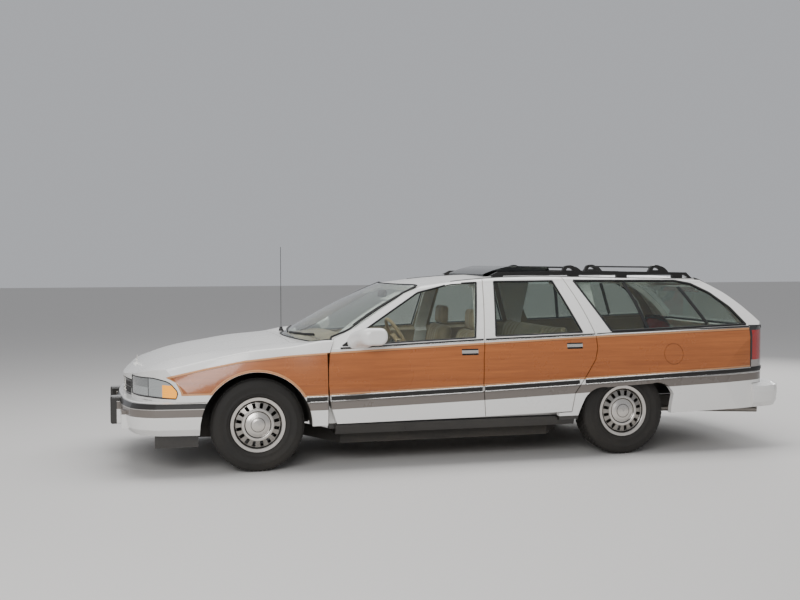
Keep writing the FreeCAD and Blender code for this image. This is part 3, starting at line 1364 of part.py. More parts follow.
keep_bound(joined("steering_wheel", [rim_ring, boss, spoke]), "steering_wheel")
column = Part.makeCylinder(30, 300, steer_c - steer_axis * 40.3, steer_axis * -1)
add_piece("steering_column", column.cut(dash))

# Mirrors, roof rack and antenna.
# Columns: y, front, rear, underside, top, rounding of the section's corners.
MIRROR_SECTIONS = [
    (-915, 668, 800, 903, 992, 24),
    (-985, 690, 858, 921, 1040, 38),
    (-1080, 716, 915, 938, 1064, 52),
    (-1148, 748, 925, 946, 1066, 54),
    (-1165, 782, 908, 966, 1048, 38),
]


def rounded(x0, x1, z0, z1, r):
    """A rectangle's outline with round corners, counter-clockwise from the lower front."""
    belly = r * (1 - math.sqrt(0.5))
    return [
        (x0, z0 + r),
        (x0 + r, z0, belly),
        (x1 - r, z0),
        (x1, z0 + r, belly),
        (x1, z1 - r),
        (x1 - r, z1, belly),
        (x0 + r, z1),
        (x0, z1 - r, belly),
    ]


mirror_wires = []
for y, x0, x1, z0, z1, r in MIRROR_SECTIONS:
    mirror_wires.append(wire_of(rounded(x0, x1, z0, z1, r), lambda u, v, y=y: Vector(u, y, v)))
mirror = Part.makeLoft(mirror_wires, True, False).cut(front_door).cut(front_glass)
mirror = mirror.cut(cabin_skin)
mirror = Part.makeCompound(solids_of(mirror))
add_piece("mirror_left", mirror)
add_piece("mirror_right", mirrored(mirror))

rack_y = size("rack_half")
rack_top = size("rack_height")
rail_side = [(1890, 1440), (1960, 1446), (3620, 1440), (3696, 1400), (3696, 1412), (3640, 1462), (2800, 1478), (1960, 1474)]
rack_rail = side_prism(rail_side, -rack_y - 18, -rack_y + 18)
rack_parts = [rack_rail]
for x in (1960, 2620, 3050, 3560):
    rack_parts.append(box(x - 45, x + 45, -rack_y - 18, -rack_y + 18, 1400, 1450))
# Cross bars between arched feet, highest at the front like a fin.
for x in (2570, 3350):
    foot_side = [(x - 62, 1462), (x + 128, 1462), (x + 52, rack_top - 6, 10), (x - 8, rack_top, 6), (x - 44, 1492, 8)]
    foot_hole = [(x - 18, 1482), (x + 50, 1482), (x + 22, 1500), (x - 6, 1502)]
    foot = side_prism(foot_side, -rack_y - 16, -rack_y + 16).cut(side_prism(foot_hole, -rack_y - 20, -rack_y + 20))
    bar = box(x - 16, x + 36, -rack_y, 0, rack_top - 22, rack_top - 8)
    rack_parts += [foot, bar]
rack_half = rack_parts[0].multiFuse(rack_parts[1:]).cut(cabin_skin)
rack = rack_half.fuse(mirrored(rack_half))
add_piece("roof_rack", Part.makeCompound(solids_of(rack)))

mast_base = Part.makeCone(22, 12, 34, Vector(410, 700, 948))
mast = Part.makeCylinder(2.4, 720, Vector(410, 700, 970))
antenna = mast_base.fuse(mast).cut(mirrored(nose_skin))
add_piece("antenna", antenna)

origin_shift = Placement(Vector(-(FRONT_FACE + REAR_FACE) / 2, 0, 0), Rotation())
for piece in pieces:
    piece.Placement = origin_shift.multiply(piece.Shape.Placement)

doc.recompute()
for item in doc.Objects:
    if "Invalid" in item.State or "Error" in item.State:
        raise RuntimeError("%s failed to build" % item.Label)
for piece in pieces + bound_pieces:
    if piece.Shape.isNull() or not piece.Shape.isValid() or not piece.Shape.Solids:
        raise RuntimeError("%s has no sound shape" % piece.Label)
os.makedirs("parts", exist_ok=True)
for piece in pieces + bound_pieces:
    piece.Shape.exportStep("parts/%s.step" % piece.Label)
    print(piece.Label, len(piece.Shape.Solids), round(piece.Shape.Volume / 1e6, 2))
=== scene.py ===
"""Looks of a station wagon with wood-grain sides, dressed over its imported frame."""
import json
import math

import bmesh
import bpy
from mathutils import Matrix, Vector

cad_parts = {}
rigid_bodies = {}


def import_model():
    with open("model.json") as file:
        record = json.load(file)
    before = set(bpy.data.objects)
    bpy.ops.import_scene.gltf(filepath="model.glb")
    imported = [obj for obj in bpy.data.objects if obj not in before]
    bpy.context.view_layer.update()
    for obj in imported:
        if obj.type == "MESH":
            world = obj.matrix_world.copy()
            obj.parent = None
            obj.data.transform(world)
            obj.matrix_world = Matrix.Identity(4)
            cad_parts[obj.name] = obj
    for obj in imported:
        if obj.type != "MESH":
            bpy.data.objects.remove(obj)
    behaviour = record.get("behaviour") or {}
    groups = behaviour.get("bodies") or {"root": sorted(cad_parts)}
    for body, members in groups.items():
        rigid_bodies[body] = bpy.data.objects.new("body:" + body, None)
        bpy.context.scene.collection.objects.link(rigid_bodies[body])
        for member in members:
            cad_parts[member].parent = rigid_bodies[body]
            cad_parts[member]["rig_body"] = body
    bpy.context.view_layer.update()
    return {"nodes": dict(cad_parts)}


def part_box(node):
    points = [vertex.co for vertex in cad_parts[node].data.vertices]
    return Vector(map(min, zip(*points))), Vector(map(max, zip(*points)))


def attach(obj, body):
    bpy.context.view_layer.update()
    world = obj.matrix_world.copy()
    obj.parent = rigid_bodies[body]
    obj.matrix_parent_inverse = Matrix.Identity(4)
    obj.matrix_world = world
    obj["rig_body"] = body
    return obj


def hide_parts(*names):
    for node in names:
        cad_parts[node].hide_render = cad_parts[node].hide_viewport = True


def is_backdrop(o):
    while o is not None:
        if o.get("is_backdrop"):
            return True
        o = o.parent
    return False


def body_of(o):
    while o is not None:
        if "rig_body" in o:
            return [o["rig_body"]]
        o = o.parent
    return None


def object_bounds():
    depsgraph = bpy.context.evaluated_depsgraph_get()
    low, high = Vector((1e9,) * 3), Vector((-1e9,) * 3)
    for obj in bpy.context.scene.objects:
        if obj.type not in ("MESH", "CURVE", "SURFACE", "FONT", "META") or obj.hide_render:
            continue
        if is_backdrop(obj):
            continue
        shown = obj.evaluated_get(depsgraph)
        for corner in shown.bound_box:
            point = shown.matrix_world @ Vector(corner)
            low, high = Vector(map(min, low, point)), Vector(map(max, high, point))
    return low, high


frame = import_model()
nodes = frame["nodes"]
scene = bpy.context.scene

# Camera: stands to the left of the car at eye height, a little ahead of the
# middle, looking across it and slightly rearwards, as the photograph was taken.
FOCAL_PIXELS = 1086.3
PHOTO_WIDTH = 800
CAMERA_PLACE = Vector((-2.72385, -8.89886, 1.56347))
camera_yaw, camera_pitch, camera_roll = 0.25716, 0.03592, -0.00251
forward = Vector(
    (
        math.sin(camera_yaw) * math.cos(camera_pitch),
        math.cos(camera_yaw) * math.cos(camera_pitch),
        -math.sin(camera_pitch),
    )
)
level_right = Vector((math.cos(camera_yaw), -math.sin(camera_yaw), 0.0))
level_up = level_right.cross(forward)
right = math.cos(camera_roll) * level_right + math.sin(camera_roll) * level_up
up = math.cos(camera_roll) * level_up - math.sin(camera_roll) * level_right
camera_data = bpy.data.cameras.new("camera")
camera_data.sensor_width = 36.0
camera_data.lens = FOCAL_PIXELS * camera_data.sensor_width / PHOTO_WIDTH
camera_data.clip_end = 200.0
camera = bpy.data.objects.new("camera", camera_data)
camera.matrix_world = Matrix.Translation(CAMERA_PLACE) @ Matrix((right, up, -forward)).transposed().to_4x4()
scene.collection.objects.link(camera)
scene.camera = camera

# Studio: a plain pale floor and soft light from large boxes over the roof, on
# the camera's side and behind the car, with an even pale surround.
floor_mesh = bpy.data.meshes.new("studio_floor")
FLOOR_HALF = 60.0
floor_mesh.from_pydata(
    [
        (-FLOOR_HALF, -FLOOR_HALF, 0),
        (FLOOR_HALF, -FLOOR_HALF, 0),
        (FLOOR_HALF, FLOOR_HALF, 0),
        (-FLOOR_HALF, FLOOR_HALF, 0),
    ],
    [],
    [(0, 1, 2, 3)],
)
studio_floor = bpy.data.objects.new("studio_floor", floor_mesh)
scene.collection.objects.link(studio_floor)
floor_paint = bpy.data.materials.new("floor_paint")
floor_paint.use_nodes = True
floor_shader = floor_paint.node_tree.nodes["Principled BSDF"]
floor_shader.inputs["Base Color"].default_value = (0.60, 0.585, 0.565, 1)
floor_shader.inputs["Roughness"].default_value = 0.85
floor_mesh.materials.append(floor_paint)
studio_floor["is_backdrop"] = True

surround = bpy.data.worlds.new("surround")
surround.use_nodes = True
surround.node_tree.nodes["Background"].inputs["Color"].default_value = (0.93, 0.95, 1.0, 1)
surround.node_tree.nodes["Background"].inputs["Strength"].default_value = 0.50
scene.world = surround

for lamp_name, place, aim, width, height, power in (
    ("overhead_box", (0.0, 0.0, 6.5), (0.0, 0.0, 0.0), 9.0, 4.0, 480.0),
    ("camera_side_box", (-4.5, -8.0, 4.2), (0.0, 0.0, 0.6), 6.0, 3.5, 460.0),
    ("rear_box", (6.5, 5.5, 4.0), (0.5, 0.0, 0.8), 5.0, 3.0, 260.0),
):
    lamp_data = bpy.data.lights.new(lamp_name, "AREA")
    lamp_data.shape = "RECTANGLE"
    lamp_data.size, lamp_data.size_y = width, height
    lamp_data.energy = power
    studio_lamp = bpy.data.objects.new(lamp_name, lamp_data)
    studio_lamp.location = place
    studio_lamp.rotation_euler = (Vector(aim) - Vector(place)).to_track_quat("-Z", "Y").to_euler()
    scene.collection.objects.link(studio_lamp)
    studio_lamp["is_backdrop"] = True


# Painted body: white clear-coated sheet, with wood-grain film on the upper
# sides, a grey lower band and white sills. The film ends in a tan border.
FRONT_AXLE = -1.7045
WHEELBASE = 2.944


def new_material(name):
    """An empty material with one Principled shader, its tree and that shader."""
    material = bpy.data.materials.new(name)
    material.use_nodes = True
    tree = material.node_tree
    return material, tree, tree.nodes["Principled BSDF"]


def joined(tree, kind, **inputs):
    """A node of that kind with its named inputs linked or set."""
    node = tree.nodes.new(kind)
    for key, value in inputs.items():
        socket = node.inputs[int(key[1:])] if key[0] == "i" and key[1:].isdigit() else node.inputs[
            key.replace("_", " ")
        ]
        if isinstance(value, bpy.types.NodeSocket):
            tree.links.new(value, socket)
        else:
            socket.default_value = value
    return node


def sum_of(tree, operation, first, second=0.0, third=0.0, clamp=False):
    """One Math node, and its result."""
    node = tree.nodes.new("ShaderNodeMath")
    node.operation = operation
    node.use_clamp = clamp
    for socket, value in zip(node.inputs, (first, second, third)):
        if isinstance(value, bpy.types.NodeSocket):
            tree.links.new(value, socket)
        else:
            socket.default_value = value
    return node.outputs[0]


def blended(tree, factor, low, high):
    """A colour between two, by a mask."""
    node = tree.nodes.new("ShaderNodeMix")
    node.data_type = "RGBA"
    for socket, value in ((node.inputs[0], factor), (node.inputs[6], low), (node.inputs[7], high)):
        if isinstance(value, bpy.types.NodeSocket):
            tree.links.new(value, socket)
        else:
            socket.default_value = value
    return node.outputs[2]


def broken_line(tree, x, points):
    """Height of a line of straight runs through (mm behind the front axle, mm over the ground), in metres."""
    places = [(px / 1000 + FRONT_AXLE, pz / 1000) for px, pz in points]
    slopes = [(b[1] - a[1]) / (b[0] - a[0]) for a, b in zip(places[:-1], places[1:])]
    first = places[0]
    height = sum_of(tree, "MULTIPLY_ADD", x, slopes[0], first[1] - slopes[0] * first[0])
    for place, before, after in zip(places[1:-1], slopes[:-1], slopes[1:]):
        past = sum_of(tree, "MAXIMUM", sum_of(tree, "SUBTRACT", x, place[0]), 0.0)
        height = sum_of(tree, "MULTIPLY_ADD", past, after - before, height)
    return height


def inside(tree, axes, low, high):
    """A mask of 1 in a box, in mm: behind the front axle, from the middle, over the ground."""
    mask = None
    away = sum_of(tree, "ABSOLUTE", axes.outputs["Y"])
    for value, a, b, shift in (
        (axes.outputs["X"], low[0], high[0], FRONT_AXLE),
        (away, low[1], high[1], 0.0),
        (axes.outputs["Z"], low[2], high[2], 0.0),
    ):
        middle, half = (a + b) / 2000 + shift, (b - a) / 2000
        within = sum_of(tree, "COMPARE", value, middle, half)
        mask = within if mask is None else sum_of(tree, "MULTIPLY", mask, within)
    return mask


def with_patches(tree, axes, colour, patches):
    """That colour with boxes of other finishes on it, and how metallic the whole is."""
    metallic = 0.0
    for patch, shine, low, high in patches:
        mask = inside(tree, axes, low, high)
        colour = blended(tree, mask, colour, patch)
        metallic = sum_of(tree, "MULTIPLY_ADD", mask, sum_of(tree, "SUBTRACT", shine, metallic), metallic)
    return colour, metallic


def away_from(tree, axes, centre_x, centre_z):
    """Distance in side view from a centre given in metres."""
    dx = sum_of(tree, "SUBTRACT", axes.outputs["X"], centre_x)
    dz = sum_of(tree, "SUBTRACT", axes.outputs["Z"], centre_z)
    squares = sum_of(tree, "ADD", sum_of(tree, "MULTIPLY", dx, dx), sum_of(tree, "MULTIPLY", dz, dz))
    return sum_of(tree, "SQRT", squares)


def group_tree(name, inputs, outputs):
    """A shader node group with named inputs and outputs, and its two end nodes."""
    tree = bpy.data.node_groups.new(name, "ShaderNodeTree")
    for socket_name, kind, value in inputs:
        socket = tree.interface.new_socket(socket_name, in_out="INPUT", socket_type=kind)
        socket.default_value = value
    for socket_name, kind in outputs:
        tree.interface.new_socket(socket_name, in_out="OUTPUT", socket_type=kind)
    return tree, tree.nodes.new("NodeGroupInput"), tree.nodes.new("NodeGroupOutput")


def place_group(tree, group, **values):
    """That group in a material, with its own values."""
    node = tree.nodes.new("ShaderNodeGroup")
    node.node_tree = group
    for key, value in values.items():
        socket = node.inputs[key.replace("_", " ")]
        if isinstance(value, bpy.types.NodeSocket):
            tree.links.new(value, socket)
        else:
            socket.default_value = value
    return node


# road film: dust and a faint unevenness that every outer finish carries
road_film, film_in, film_out = group_tree(
    "road_film",
    (
        ("Color", "NodeSocketColor", (0.8, 0.8, 0.8, 1)),
        ("Dust Color", "NodeSocketColor", (0.30, 0.25, 0.19, 1)),
        ("Roughness", "NodeSocketFloat", 0.3),
        ("Dust", "NodeSocketFloat", 0.25),
        ("Top", "NodeSocketFloat", 0.7),
        ("Grain", "NodeSocketFloat", 900.0),
    ),
    (("Color", "NodeSocketColor"), ("Roughness", "NodeSocketFloat"), ("Height", "NodeSocketFloat")),
)
film_place = road_film.nodes.new("ShaderNodeTexCoord").outputs["Object"]
film_axes = joined(road_film, "ShaderNodeSeparateXYZ", Vector=film_place)
cloud = joined(
    road_film, "ShaderNodeTexNoise", Vector=film_place, Scale=2.6, Detail=6.0, Roughness=0.6
).outputs["Fac"]
specks = joined(road_film, "ShaderNodeTexNoise", Vector=film_place, Scale=45.0, Detail=3.0).outputs["Fac"]
low_down = sum_of(road_film, "DIVIDE", film_axes.outputs["Z"], film_in.outputs["Top"], clamp=True)
low_down = sum_of(road_film, "SUBTRACT", 1.0, low_down, clamp=True)
low_down = sum_of(road_film, "MULTIPLY_ADD", low_down, 0.9, 0.1)
dusty = sum_of(
    road_film, "MULTIPLY", low_down, sum_of(road_film, "MULTIPLY_ADD", cloud, 1.6, -0.25, clamp=True)
)
dusty = sum_of(road_film, "MULTIPLY", dusty, sum_of(road_film, "MULTIPLY_ADD", specks, 0.8, 0.6))
dusty = sum_of(road_film, "MULTIPLY", dusty, film_in.outputs["Dust"], clamp=True)
road_film.links.new(
    blended(road_film, dusty, film_in.outputs["Color"], film_in.outputs["Dust Color"]),
    film_out.inputs["Color"],
)
road_film.links.new(
    sum_of(
        road_film,
        "MULTIPLY_ADD",
        dusty,
        0.5,
        sum_of(road_film, "MULTIPLY_ADD", cloud, 0.06, film_in.outputs["Roughness"]),
        clamp=True,
    ),
    film_out.inputs["Roughness"],
)
grain = joined(
    road_film, "ShaderNodeTexNoise", Vector=film_place, Scale=film_in.outputs["Grain"], Detail=2.0
).outputs["Fac"]
road_film.links.new(grain, film_out.inputs["Height"])

# wood film: long streaks along the car, darker towards its lower edge
wood_film, wood_in, wood_out = group_tree(
    "wood_film",
    (
        ("Light", "NodeSocketColor", (0.47, 0.145, 0.034, 1)),
        ("Dark", "NodeSocketColor", (0.20, 0.050, 0.009, 1)),
    ),
    (("Color", "NodeSocketColor"), ("Height", "NodeSocketFloat")),
)
wood_place = wood_film.nodes.new("ShaderNodeTexCoord").outputs["Object"]
along = joined(wood_film, "ShaderNodeMapping", Vector=wood_place, Scale=(1.1, 1.0, 26.0)).outputs["Vector"]
figure = joined(
    wood_film, "ShaderNodeTexNoise", Vector=along, Scale=1.6, Detail=7.0, Roughness=0.62, Distortion=0.35
).outputs["Fac"]
fine_along = joined(
    wood_film, "ShaderNodeMapping", Vector=wood_place, Scale=(3.0, 2.0, 160.0)
).outputs["Vector"]
pores = joined(wood_film, "ShaderNodeTexNoise", Vector=fine_along, Scale=3.0, Detail=4.0).outputs["Fac"]
wood_height = joined(wood_film, "ShaderNodeSeparateXYZ", Vector=wood_place).outputs["Z"]
lower_edge = sum_of(wood_film, "MULTIPLY_ADD", wood_height, -1.9, 1.95, clamp=True)
tone = sum_of(wood_film, "MULTIPLY_ADD", figure, 1.25, -0.42)
tone = sum_of(wood_film, "MULTIPLY_ADD", pores, 0.45, tone)
tone = sum_of(
    wood_film, "MULTIPLY_ADD", lower_edge, 0.30, sum_of(wood_film, "SUBTRACT", tone, 0.18), clamp=True
)
wood_film.links.new(
    blended(wood_film, tone, wood_in.outputs["Light"], wood_in.outputs["Dark"]), wood_out.inputs["Color"]
)
wood_film.links.new(pores, wood_out.inputs["Height"])

WHITE = (0.80, 0.79, 0.765, 1)
BAND_GREY = (0.155, 0.135, 0.12, 1)
TAN = (0.55, 0.25, 0.10, 1)
LINING = (0.36, 0.29, 0.20, 1)
WOOD_TOP = (
    (-735, 700),
    (-637, 736),
    (-377, 790),
    (-112, 838),
    (192, 866),
    (547, 886),
    (1730, 931),
    (2825, 970),
    (4045, 1003),
)
STRIP_TOP = ((-1100, 543), (515, 563), (1712, 598), (4271, 688))
STRIP_LOW = ((-1100, 499), (529, 517), (1720, 561), (4271, 636))
GREY_LOW = ((-1100, 441), (539, 459), (1720, 490), (4271, 577))


def side_paint(name, front_edge=None, arch=None, patches=()):
    """Body paint with the side's bands, kept back from a front edge and a wheel arch where there is one."""
    material, tree, shader = new_material(name)
    coordinates = tree.nodes.new("ShaderNodeTexCoord")
    place = coordinates.outputs["Object"]
    axes = joined(tree, "ShaderNodeSeparateXYZ", Vector=place)
    x, z = axes.outputs["X"], axes.outputs["Z"]
    side = sum_of(tree, "ABSOLUTE", axes.outputs["Y"])
    below_top = sum_of(tree, "SUBTRACT", broken_line(tree, x, WOOD_TOP), z)
    bottom = WOOD_LOW_FENDER if arch else STRIP_TOP
    over_low = sum_of(tree, "SUBTRACT", z, broken_line(tree, x, bottom))
    depth = sum_of(tree, "MINIMUM", below_top, over_low)
    if front_edge:
        depth = sum_of(
            tree, "MINIMUM", depth, sum_of(tree, "SUBTRACT", x, broken_line_x(tree, z, front_edge))
        )
    if arch:
        centre_x, centre_z, radius = arch
        away = away_from(tree, axes, centre_x / 1000 + FRONT_AXLE, centre_z / 1000)
        depth = sum_of(tree, "MINIMUM", depth, sum_of(tree, "SUBTRACT", away, radius / 1000))
    out_there = sum_of(tree, "GREATER_THAN", side, 0.60)
    film = sum_of(tree, "MULTIPLY", sum_of(tree, "GREATER_THAN", depth, 0.0), out_there)
    inner = sum_of(tree, "MULTIPLY", sum_of(tree, "GREATER_THAN", depth, 0.015), out_there)
    shadow = sum_of(tree, "MULTIPLY", sum_of(tree, "COMPARE", depth, 0.0165, 0.0015), out_there)
    wood = place_group(tree, wood_film)
    colour = blended(tree, film, WHITE, TAN)
    colour = blended(tree, inner, colour, wood.outputs["Color"])
    colour = blended(tree, shadow, colour, (0.16, 0.06, 0.025, 1))
    grey = sum_of(tree, "SUBTRACT", broken_line(tree, x, STRIP_LOW), z)
    grey = sum_of(tree, "MINIMUM", grey, sum_of(tree, "SUBTRACT", z, broken_line(tree, x, GREY_LOW)))
    colour = blended(tree, sum_of(tree, "GREATER_THAN", grey, 0.0), colour, BAND_GREY)
    colour, metallic = with_patches(tree, axes, colour, patches)
    if patches:
        tree.links.new(metallic, shader.inputs["Metallic"])
    dirt = place_group(tree, road_film, Color=colour, Roughness=0.24, Dust=0.12)
    facing = joined(tree, "ShaderNodeSeparateXYZ", Vector=coordinates.outputs["Normal"])
    inward = sum_of(tree, "MULTIPLY", axes.outputs["Y"], facing.outputs["Y"])
    lining = sum_of(tree, "LESS_THAN", inward, -0.12)
    tree.links.new(blended(tree, lining, dirt.outputs["Color"], LINING), shader.inputs["Base Color"])
    rough = sum_of(tree, "MAXIMUM", dirt.outputs["Roughness"], sum_of(tree, "MULTIPLY", lining, 0.62))
    tree.links.new(rough, shader.inputs["Roughness"])
    bump = joined(tree, "ShaderNodeBump", Strength=0.04, Distance=0.0006, Height=dirt.outputs["Height"])
    tree.links.new(bump.outputs["Normal"], shader.inputs["Normal"])
    shader.inputs["Coat Weight"].default_value = 0.5
    shader.inputs["Coat Roughness"].default_value = 0.06
    return material


def broken_line_x(tree, z, points):
    """Place along the car of an edge given as (mm behind the front axle, mm over the ground), low to high."""
    places = [(pz / 1000, px / 1000 + FRONT_AXLE) for px, pz in points]
    slopes = [(b[1] - a[1]) / (b[0] - a[0]) for a, b in zip(places[:-1], places[1:])]
    reach = sum_of(tree, "MULTIPLY_ADD", z, slopes[0], places[0][1] - slopes[0] * places[0][0])
    for place, before, after in zip(places[1:-1], slopes[:-1], slopes[1:]):
        past = sum_of(tree, "MAXIMUM", sum_of(tree, "SUBTRACT", z, place[0]), 0.0)
        reach = sum_of(tree, "MULTIPLY_ADD", past, after - before, reach)
    return reach


WOOD_LOW_FENDER = ((-735, 596), (0, 596), (20, 548), (515, 563))
FENDER_FRONT = ((-560, 590), (-566, 620), (-600, 690), (-680, 730), (-735, 745))
FITTING_BLACK = (0.007, 0.0065, 0.006, 1)
FITTING_BRIGHT = (0.72, 0.70, 0.66, 1)
# Columns of patches: colour, how metallic, low and high corner in mm.
ROCKER_BLACK = (FITTING_BLACK, 0.0, (346, 600, 150), (2600, 1100, 341))
FRONT_HANDLE = (
    (FITTING_BLACK, 0.0, (1556, 930, 838), (1688, 1050, 886)),
    (FITTING_BRIGHT, 0.9, (1556, 966, 851), (1688, 1050, 877)),
)
REAR_HANDLE = (
    (FITTING_BLACK, 0.0, (2427, 930, 867), (2559, 1050, 915)),
    (FITTING_BRIGHT, 0.9, (2427, 962, 880), (2559, 1050, 906)),
)
front_door_paint = side_paint("front_door_paint", patches=(ROCKER_BLACK,) + FRONT_HANDLE)
rear_door_paint = side_paint("rear_door_paint", patches=(ROCKER_BLACK,) + REAR_HANDLE)
quarter_paint = side_paint("quarter_paint", patches=(ROCKER_BLACK,))
fender_paint = side_paint("fender_paint", FENDER_FRONT, (-20, 340, 413), (ROCKER_BLACK,))


def dress(node, material):
    """That finish on a CAD node."""
    mesh = nodes[node].data
    mesh.materials.clear()
    mesh.materials.append(material)


def plain_finish(name, colour, roughness, dust=0.3, metallic=0.0, coat=0.0, grain=900.0, bump=0.1, top=0.7):
    """A finish of one colour with dust low down and a fine surface."""
    material, tree, shader = new_material(name)
    dirt = place_group(tree, road_film, Color=colour, Roughness=roughness, Dust=dust, Grain=grain, Top=top)
    tree.links.new(dirt.outputs["Color"], shader.inputs["Base Color"])
    tree.links.new(dirt.outputs["Roughness"], shader.inputs["Roughness"])
    bump_node = joined(tree, "ShaderNodeBump", Strength=bump, Distance=0.001, Height=dirt.outputs["Height"])
    tree.links.new(bump_node.outputs["Normal"], shader.inputs["Normal"])
    shader.inputs["Metallic"].default_value = metallic
    if coat:
        shader.inputs["Coat Weight"].default_value = coat
        shader.inputs["Coat Roughness"].default_value = 0.06
    return material


def patched_paint(name, patches, base=WHITE, roughness=0.24, coat=0.5, dust=0.12, glow=None):
    """Paint of one colour with boxes of other finishes on it, in mm as the masks take them."""
    material, tree, shader = new_material(name)
    axes = joined(
        tree, "ShaderNodeSeparateXYZ", Vector=tree.nodes.new("ShaderNodeTexCoord").outputs["Object"]
    )
    colour, metallic = with_patches(tree, axes, base, patches)
    dirt = place_group(tree, road_film, Color=colour, Roughness=roughness, Dust=dust)
    tree.links.new(dirt.outputs["Color"], shader.inputs["Base Color"])
    tree.links.new(dirt.outputs["Roughness"], shader.inputs["Roughness"])
    tree.links.new(metallic, shader.inputs["Metallic"])
    bump = joined(tree, "ShaderNodeBump", Strength=0.03, Distance=0.0008, Height=dirt.outputs["Height"])
    tree.links.new(bump.outputs["Normal"], shader.inputs["Normal"])
    shader.inputs["Coat Weight"].default_value = coat
    shader.inputs["Coat Roughness"].default_value = 0.06
    if glow:
        lit = inside(tree, axes, glow[0], glow[1])
        tree.links.new(blended(tree, lit, (0, 0, 0, 1), glow[2]), shader.inputs["Emission Color"])
        shader.inputs["Emission Strength"].default_value = glow[3]
    return material


ALL_ROUND = 1200
white_paint = plain_finish("white_paint", WHITE, 0.24, coat=0.5, bump=0.03)
for node in ("roof_panel", "cowl_panel", "mirror_left", "mirror_right", "tailgate_opening"):
    dress(node, white_paint)
for side in ("left", "right"):
    dress("door_front_" + side, front_door_paint)
    dress("door_rear_" + side, rear_door_paint)
dress("quarter_panels", quarter_paint)
dress("front_fenders", fender_paint)
dress("door_frames", patched_paint("pillar_paint", (ROCKER_BLACK,)))
ornament_patch = (FITTING_BRIGHT, 1.0, (-882, 0, 764), (-838, 12, 830))
dress("hood", patched_paint("hood_paint", (ornament_patch,)))
dress(
    "front_bumper",
    patched_paint(
        "front_bumper_paint",
        (
            (BAND_GREY, 0.0, (-1200, 0, 441), (500, ALL_ROUND, 497)),
            (FITTING_BRIGHT, 1.0, (-1200, 0, 496), (500, ALL_ROUND, 501)),
            (FITTING_BLACK, 0.0, (-1200, 0, 501), (500, ALL_ROUND, 538)),
            (FITTING_BRIGHT, 1.0, (-1200, 0, 538), (500, ALL_ROUND, 543)),
            (FITTING_BLACK, 0.0, (-1100, 280, 300), (-1012, 380, 533)),
            (FITTING_BLACK, 0.0, (-1200, 0, 100), (500, ALL_ROUND, 299)),
        ),
    ),
)
dress(
    "rear_bumper",
    patched_paint(
        "rear_bumper_paint",
        (
            (FITTING_BLACK, 0.0, (4405, 0, 478), (4600, ALL_ROUND, 520)),
            (FITTING_BRIGHT, 1.0, (4405, 0, 520), (4600, ALL_ROUND, 525)),
            (BAND_GREY, 0.0, (4405, 0, 430), (4600, ALL_ROUND, 478)),
            (FITTING_BLACK, 0.0, (4000, 0, 100), (4600, ALL_ROUND, 345)),
        ),
    ),
)
WOOD_BACK = (0.50, 0.19, 0.07, 1)
tailgate_patches = (
    (TAN, 0.0, (4150, 0, 640), (4600, 640, 905)),
    (WOOD_BACK, 0.0, (4150, 0, 655), (4600, 625, 890)),
    (FITTING_BLACK, 0.0, (4150, 0, 676), (4600, 160, 792)),
    (FITTING_BRIGHT, 1.0, (4150, 0, 792), (4600, 172, 804)),
)
dress("tailgate", patched_paint("tailgate_paint", tailgate_patches))


# Glass: tinted safety glass in every window, darker behind the front doors, with
# a clear hard surface that mirrors the sky and a little dust along its edges.
def window_glass(name, tint):
    """Tinted glass that is seen straight through, under a reflecting surface."""
    material, tree, shader = new_material(name)
    dirt = place_group(tree, road_film, Color=tint, Roughness=0.0, Dust=0.10, Top=1.5)
    tree.links.new(dirt.outputs["Color"], shader.inputs["Base Color"])
    tree.links.new(sum_of(tree, "MULTIPLY", dirt.outputs["Roughness"], 0.5), shader.inputs["Roughness"])
    shader.inputs["Transmission Weight"].default_value = 1.0
    shader.inputs["IOR"].default_value = 1.03
    shader.inputs["Coat Weight"].default_value = 1.0
    shader.inputs["Coat Roughness"].default_value = 0.01
    return material


front_glass = window_glass("front_window_glass", (0.80, 0.86, 0.81, 1))
rear_glass = window_glass("rear_window_glass", (0.62, 0.69, 0.64, 1))
for node in ("windshield", "glass_front_left", "glass_front_right"):
    dress(node, front_glass)
for node in ("glass_rear_left", "glass_rear_right", "quarter_windows", "tailgate_window"):
    dress(node, rear_glass)
dress("roof_window", window_glass("roof_window_glass", (0.10, 0.11, 0.10, 1)))

# Mouldings: rubber and bright strips clipped along the sides, round the windows
# and along the roof. Each follows a drawn line laid onto the sheet under it.
black_plastic = plain_finish("black_plastic", (0.008, 0.0075, 0.007, 1), 0.40, dust=0.08, bump=0.15)
bright_metal = plain_finish("bright_metal", (0.62, 0.61, 0.59, 1), 0.16, dust=0.25, metallic=1.0, bump=0.04)
tan_plastic = plain_finish("tan_plastic", TAN, 0.38, dust=0.35, bump=0.08)
window_rubber = plain_finish("window_rubber", (0.006, 0.006, 0.006, 1), 0.55, dust=0.04, bump=0.2)


def geometry_tree(name, inputs):
    """A geometry tree with named inputs, and its two end nodes."""
    tree = bpy.data.node_groups.new(name, "GeometryNodeTree")
    tree.interface.new_socket("Geometry", in_out="INPUT", socket_type="NodeSocketGeometry")
    for label, kind, value in inputs:
        socket = tree.interface.new_socket(label, in_out="INPUT", socket_type=kind)
        if value is not None:
            socket.default_value = value
    tree.interface.new_socket("Geometry", in_out="OUTPUT", socket_type="NodeSocketGeometry")
    return tree, tree.nodes.new("NodeGroupInput"), tree.nodes.new("NodeGroupOutput")


def end_tree(tree, geometry, start, end):
    """The tree's last nodes: real geometry in the material that the tree was given."""
    real = joined(tree, "GeometryNodeRealizeInstances", Geometry=geometry)
    done = joined(
        tree, "GeometryNodeSetMaterial", Geometry=real.outputs["Geometry"], Material=start.outputs["Material"]
    )
    tree.links.new(done.outputs["Geometry"], end.inputs["Geometry"])


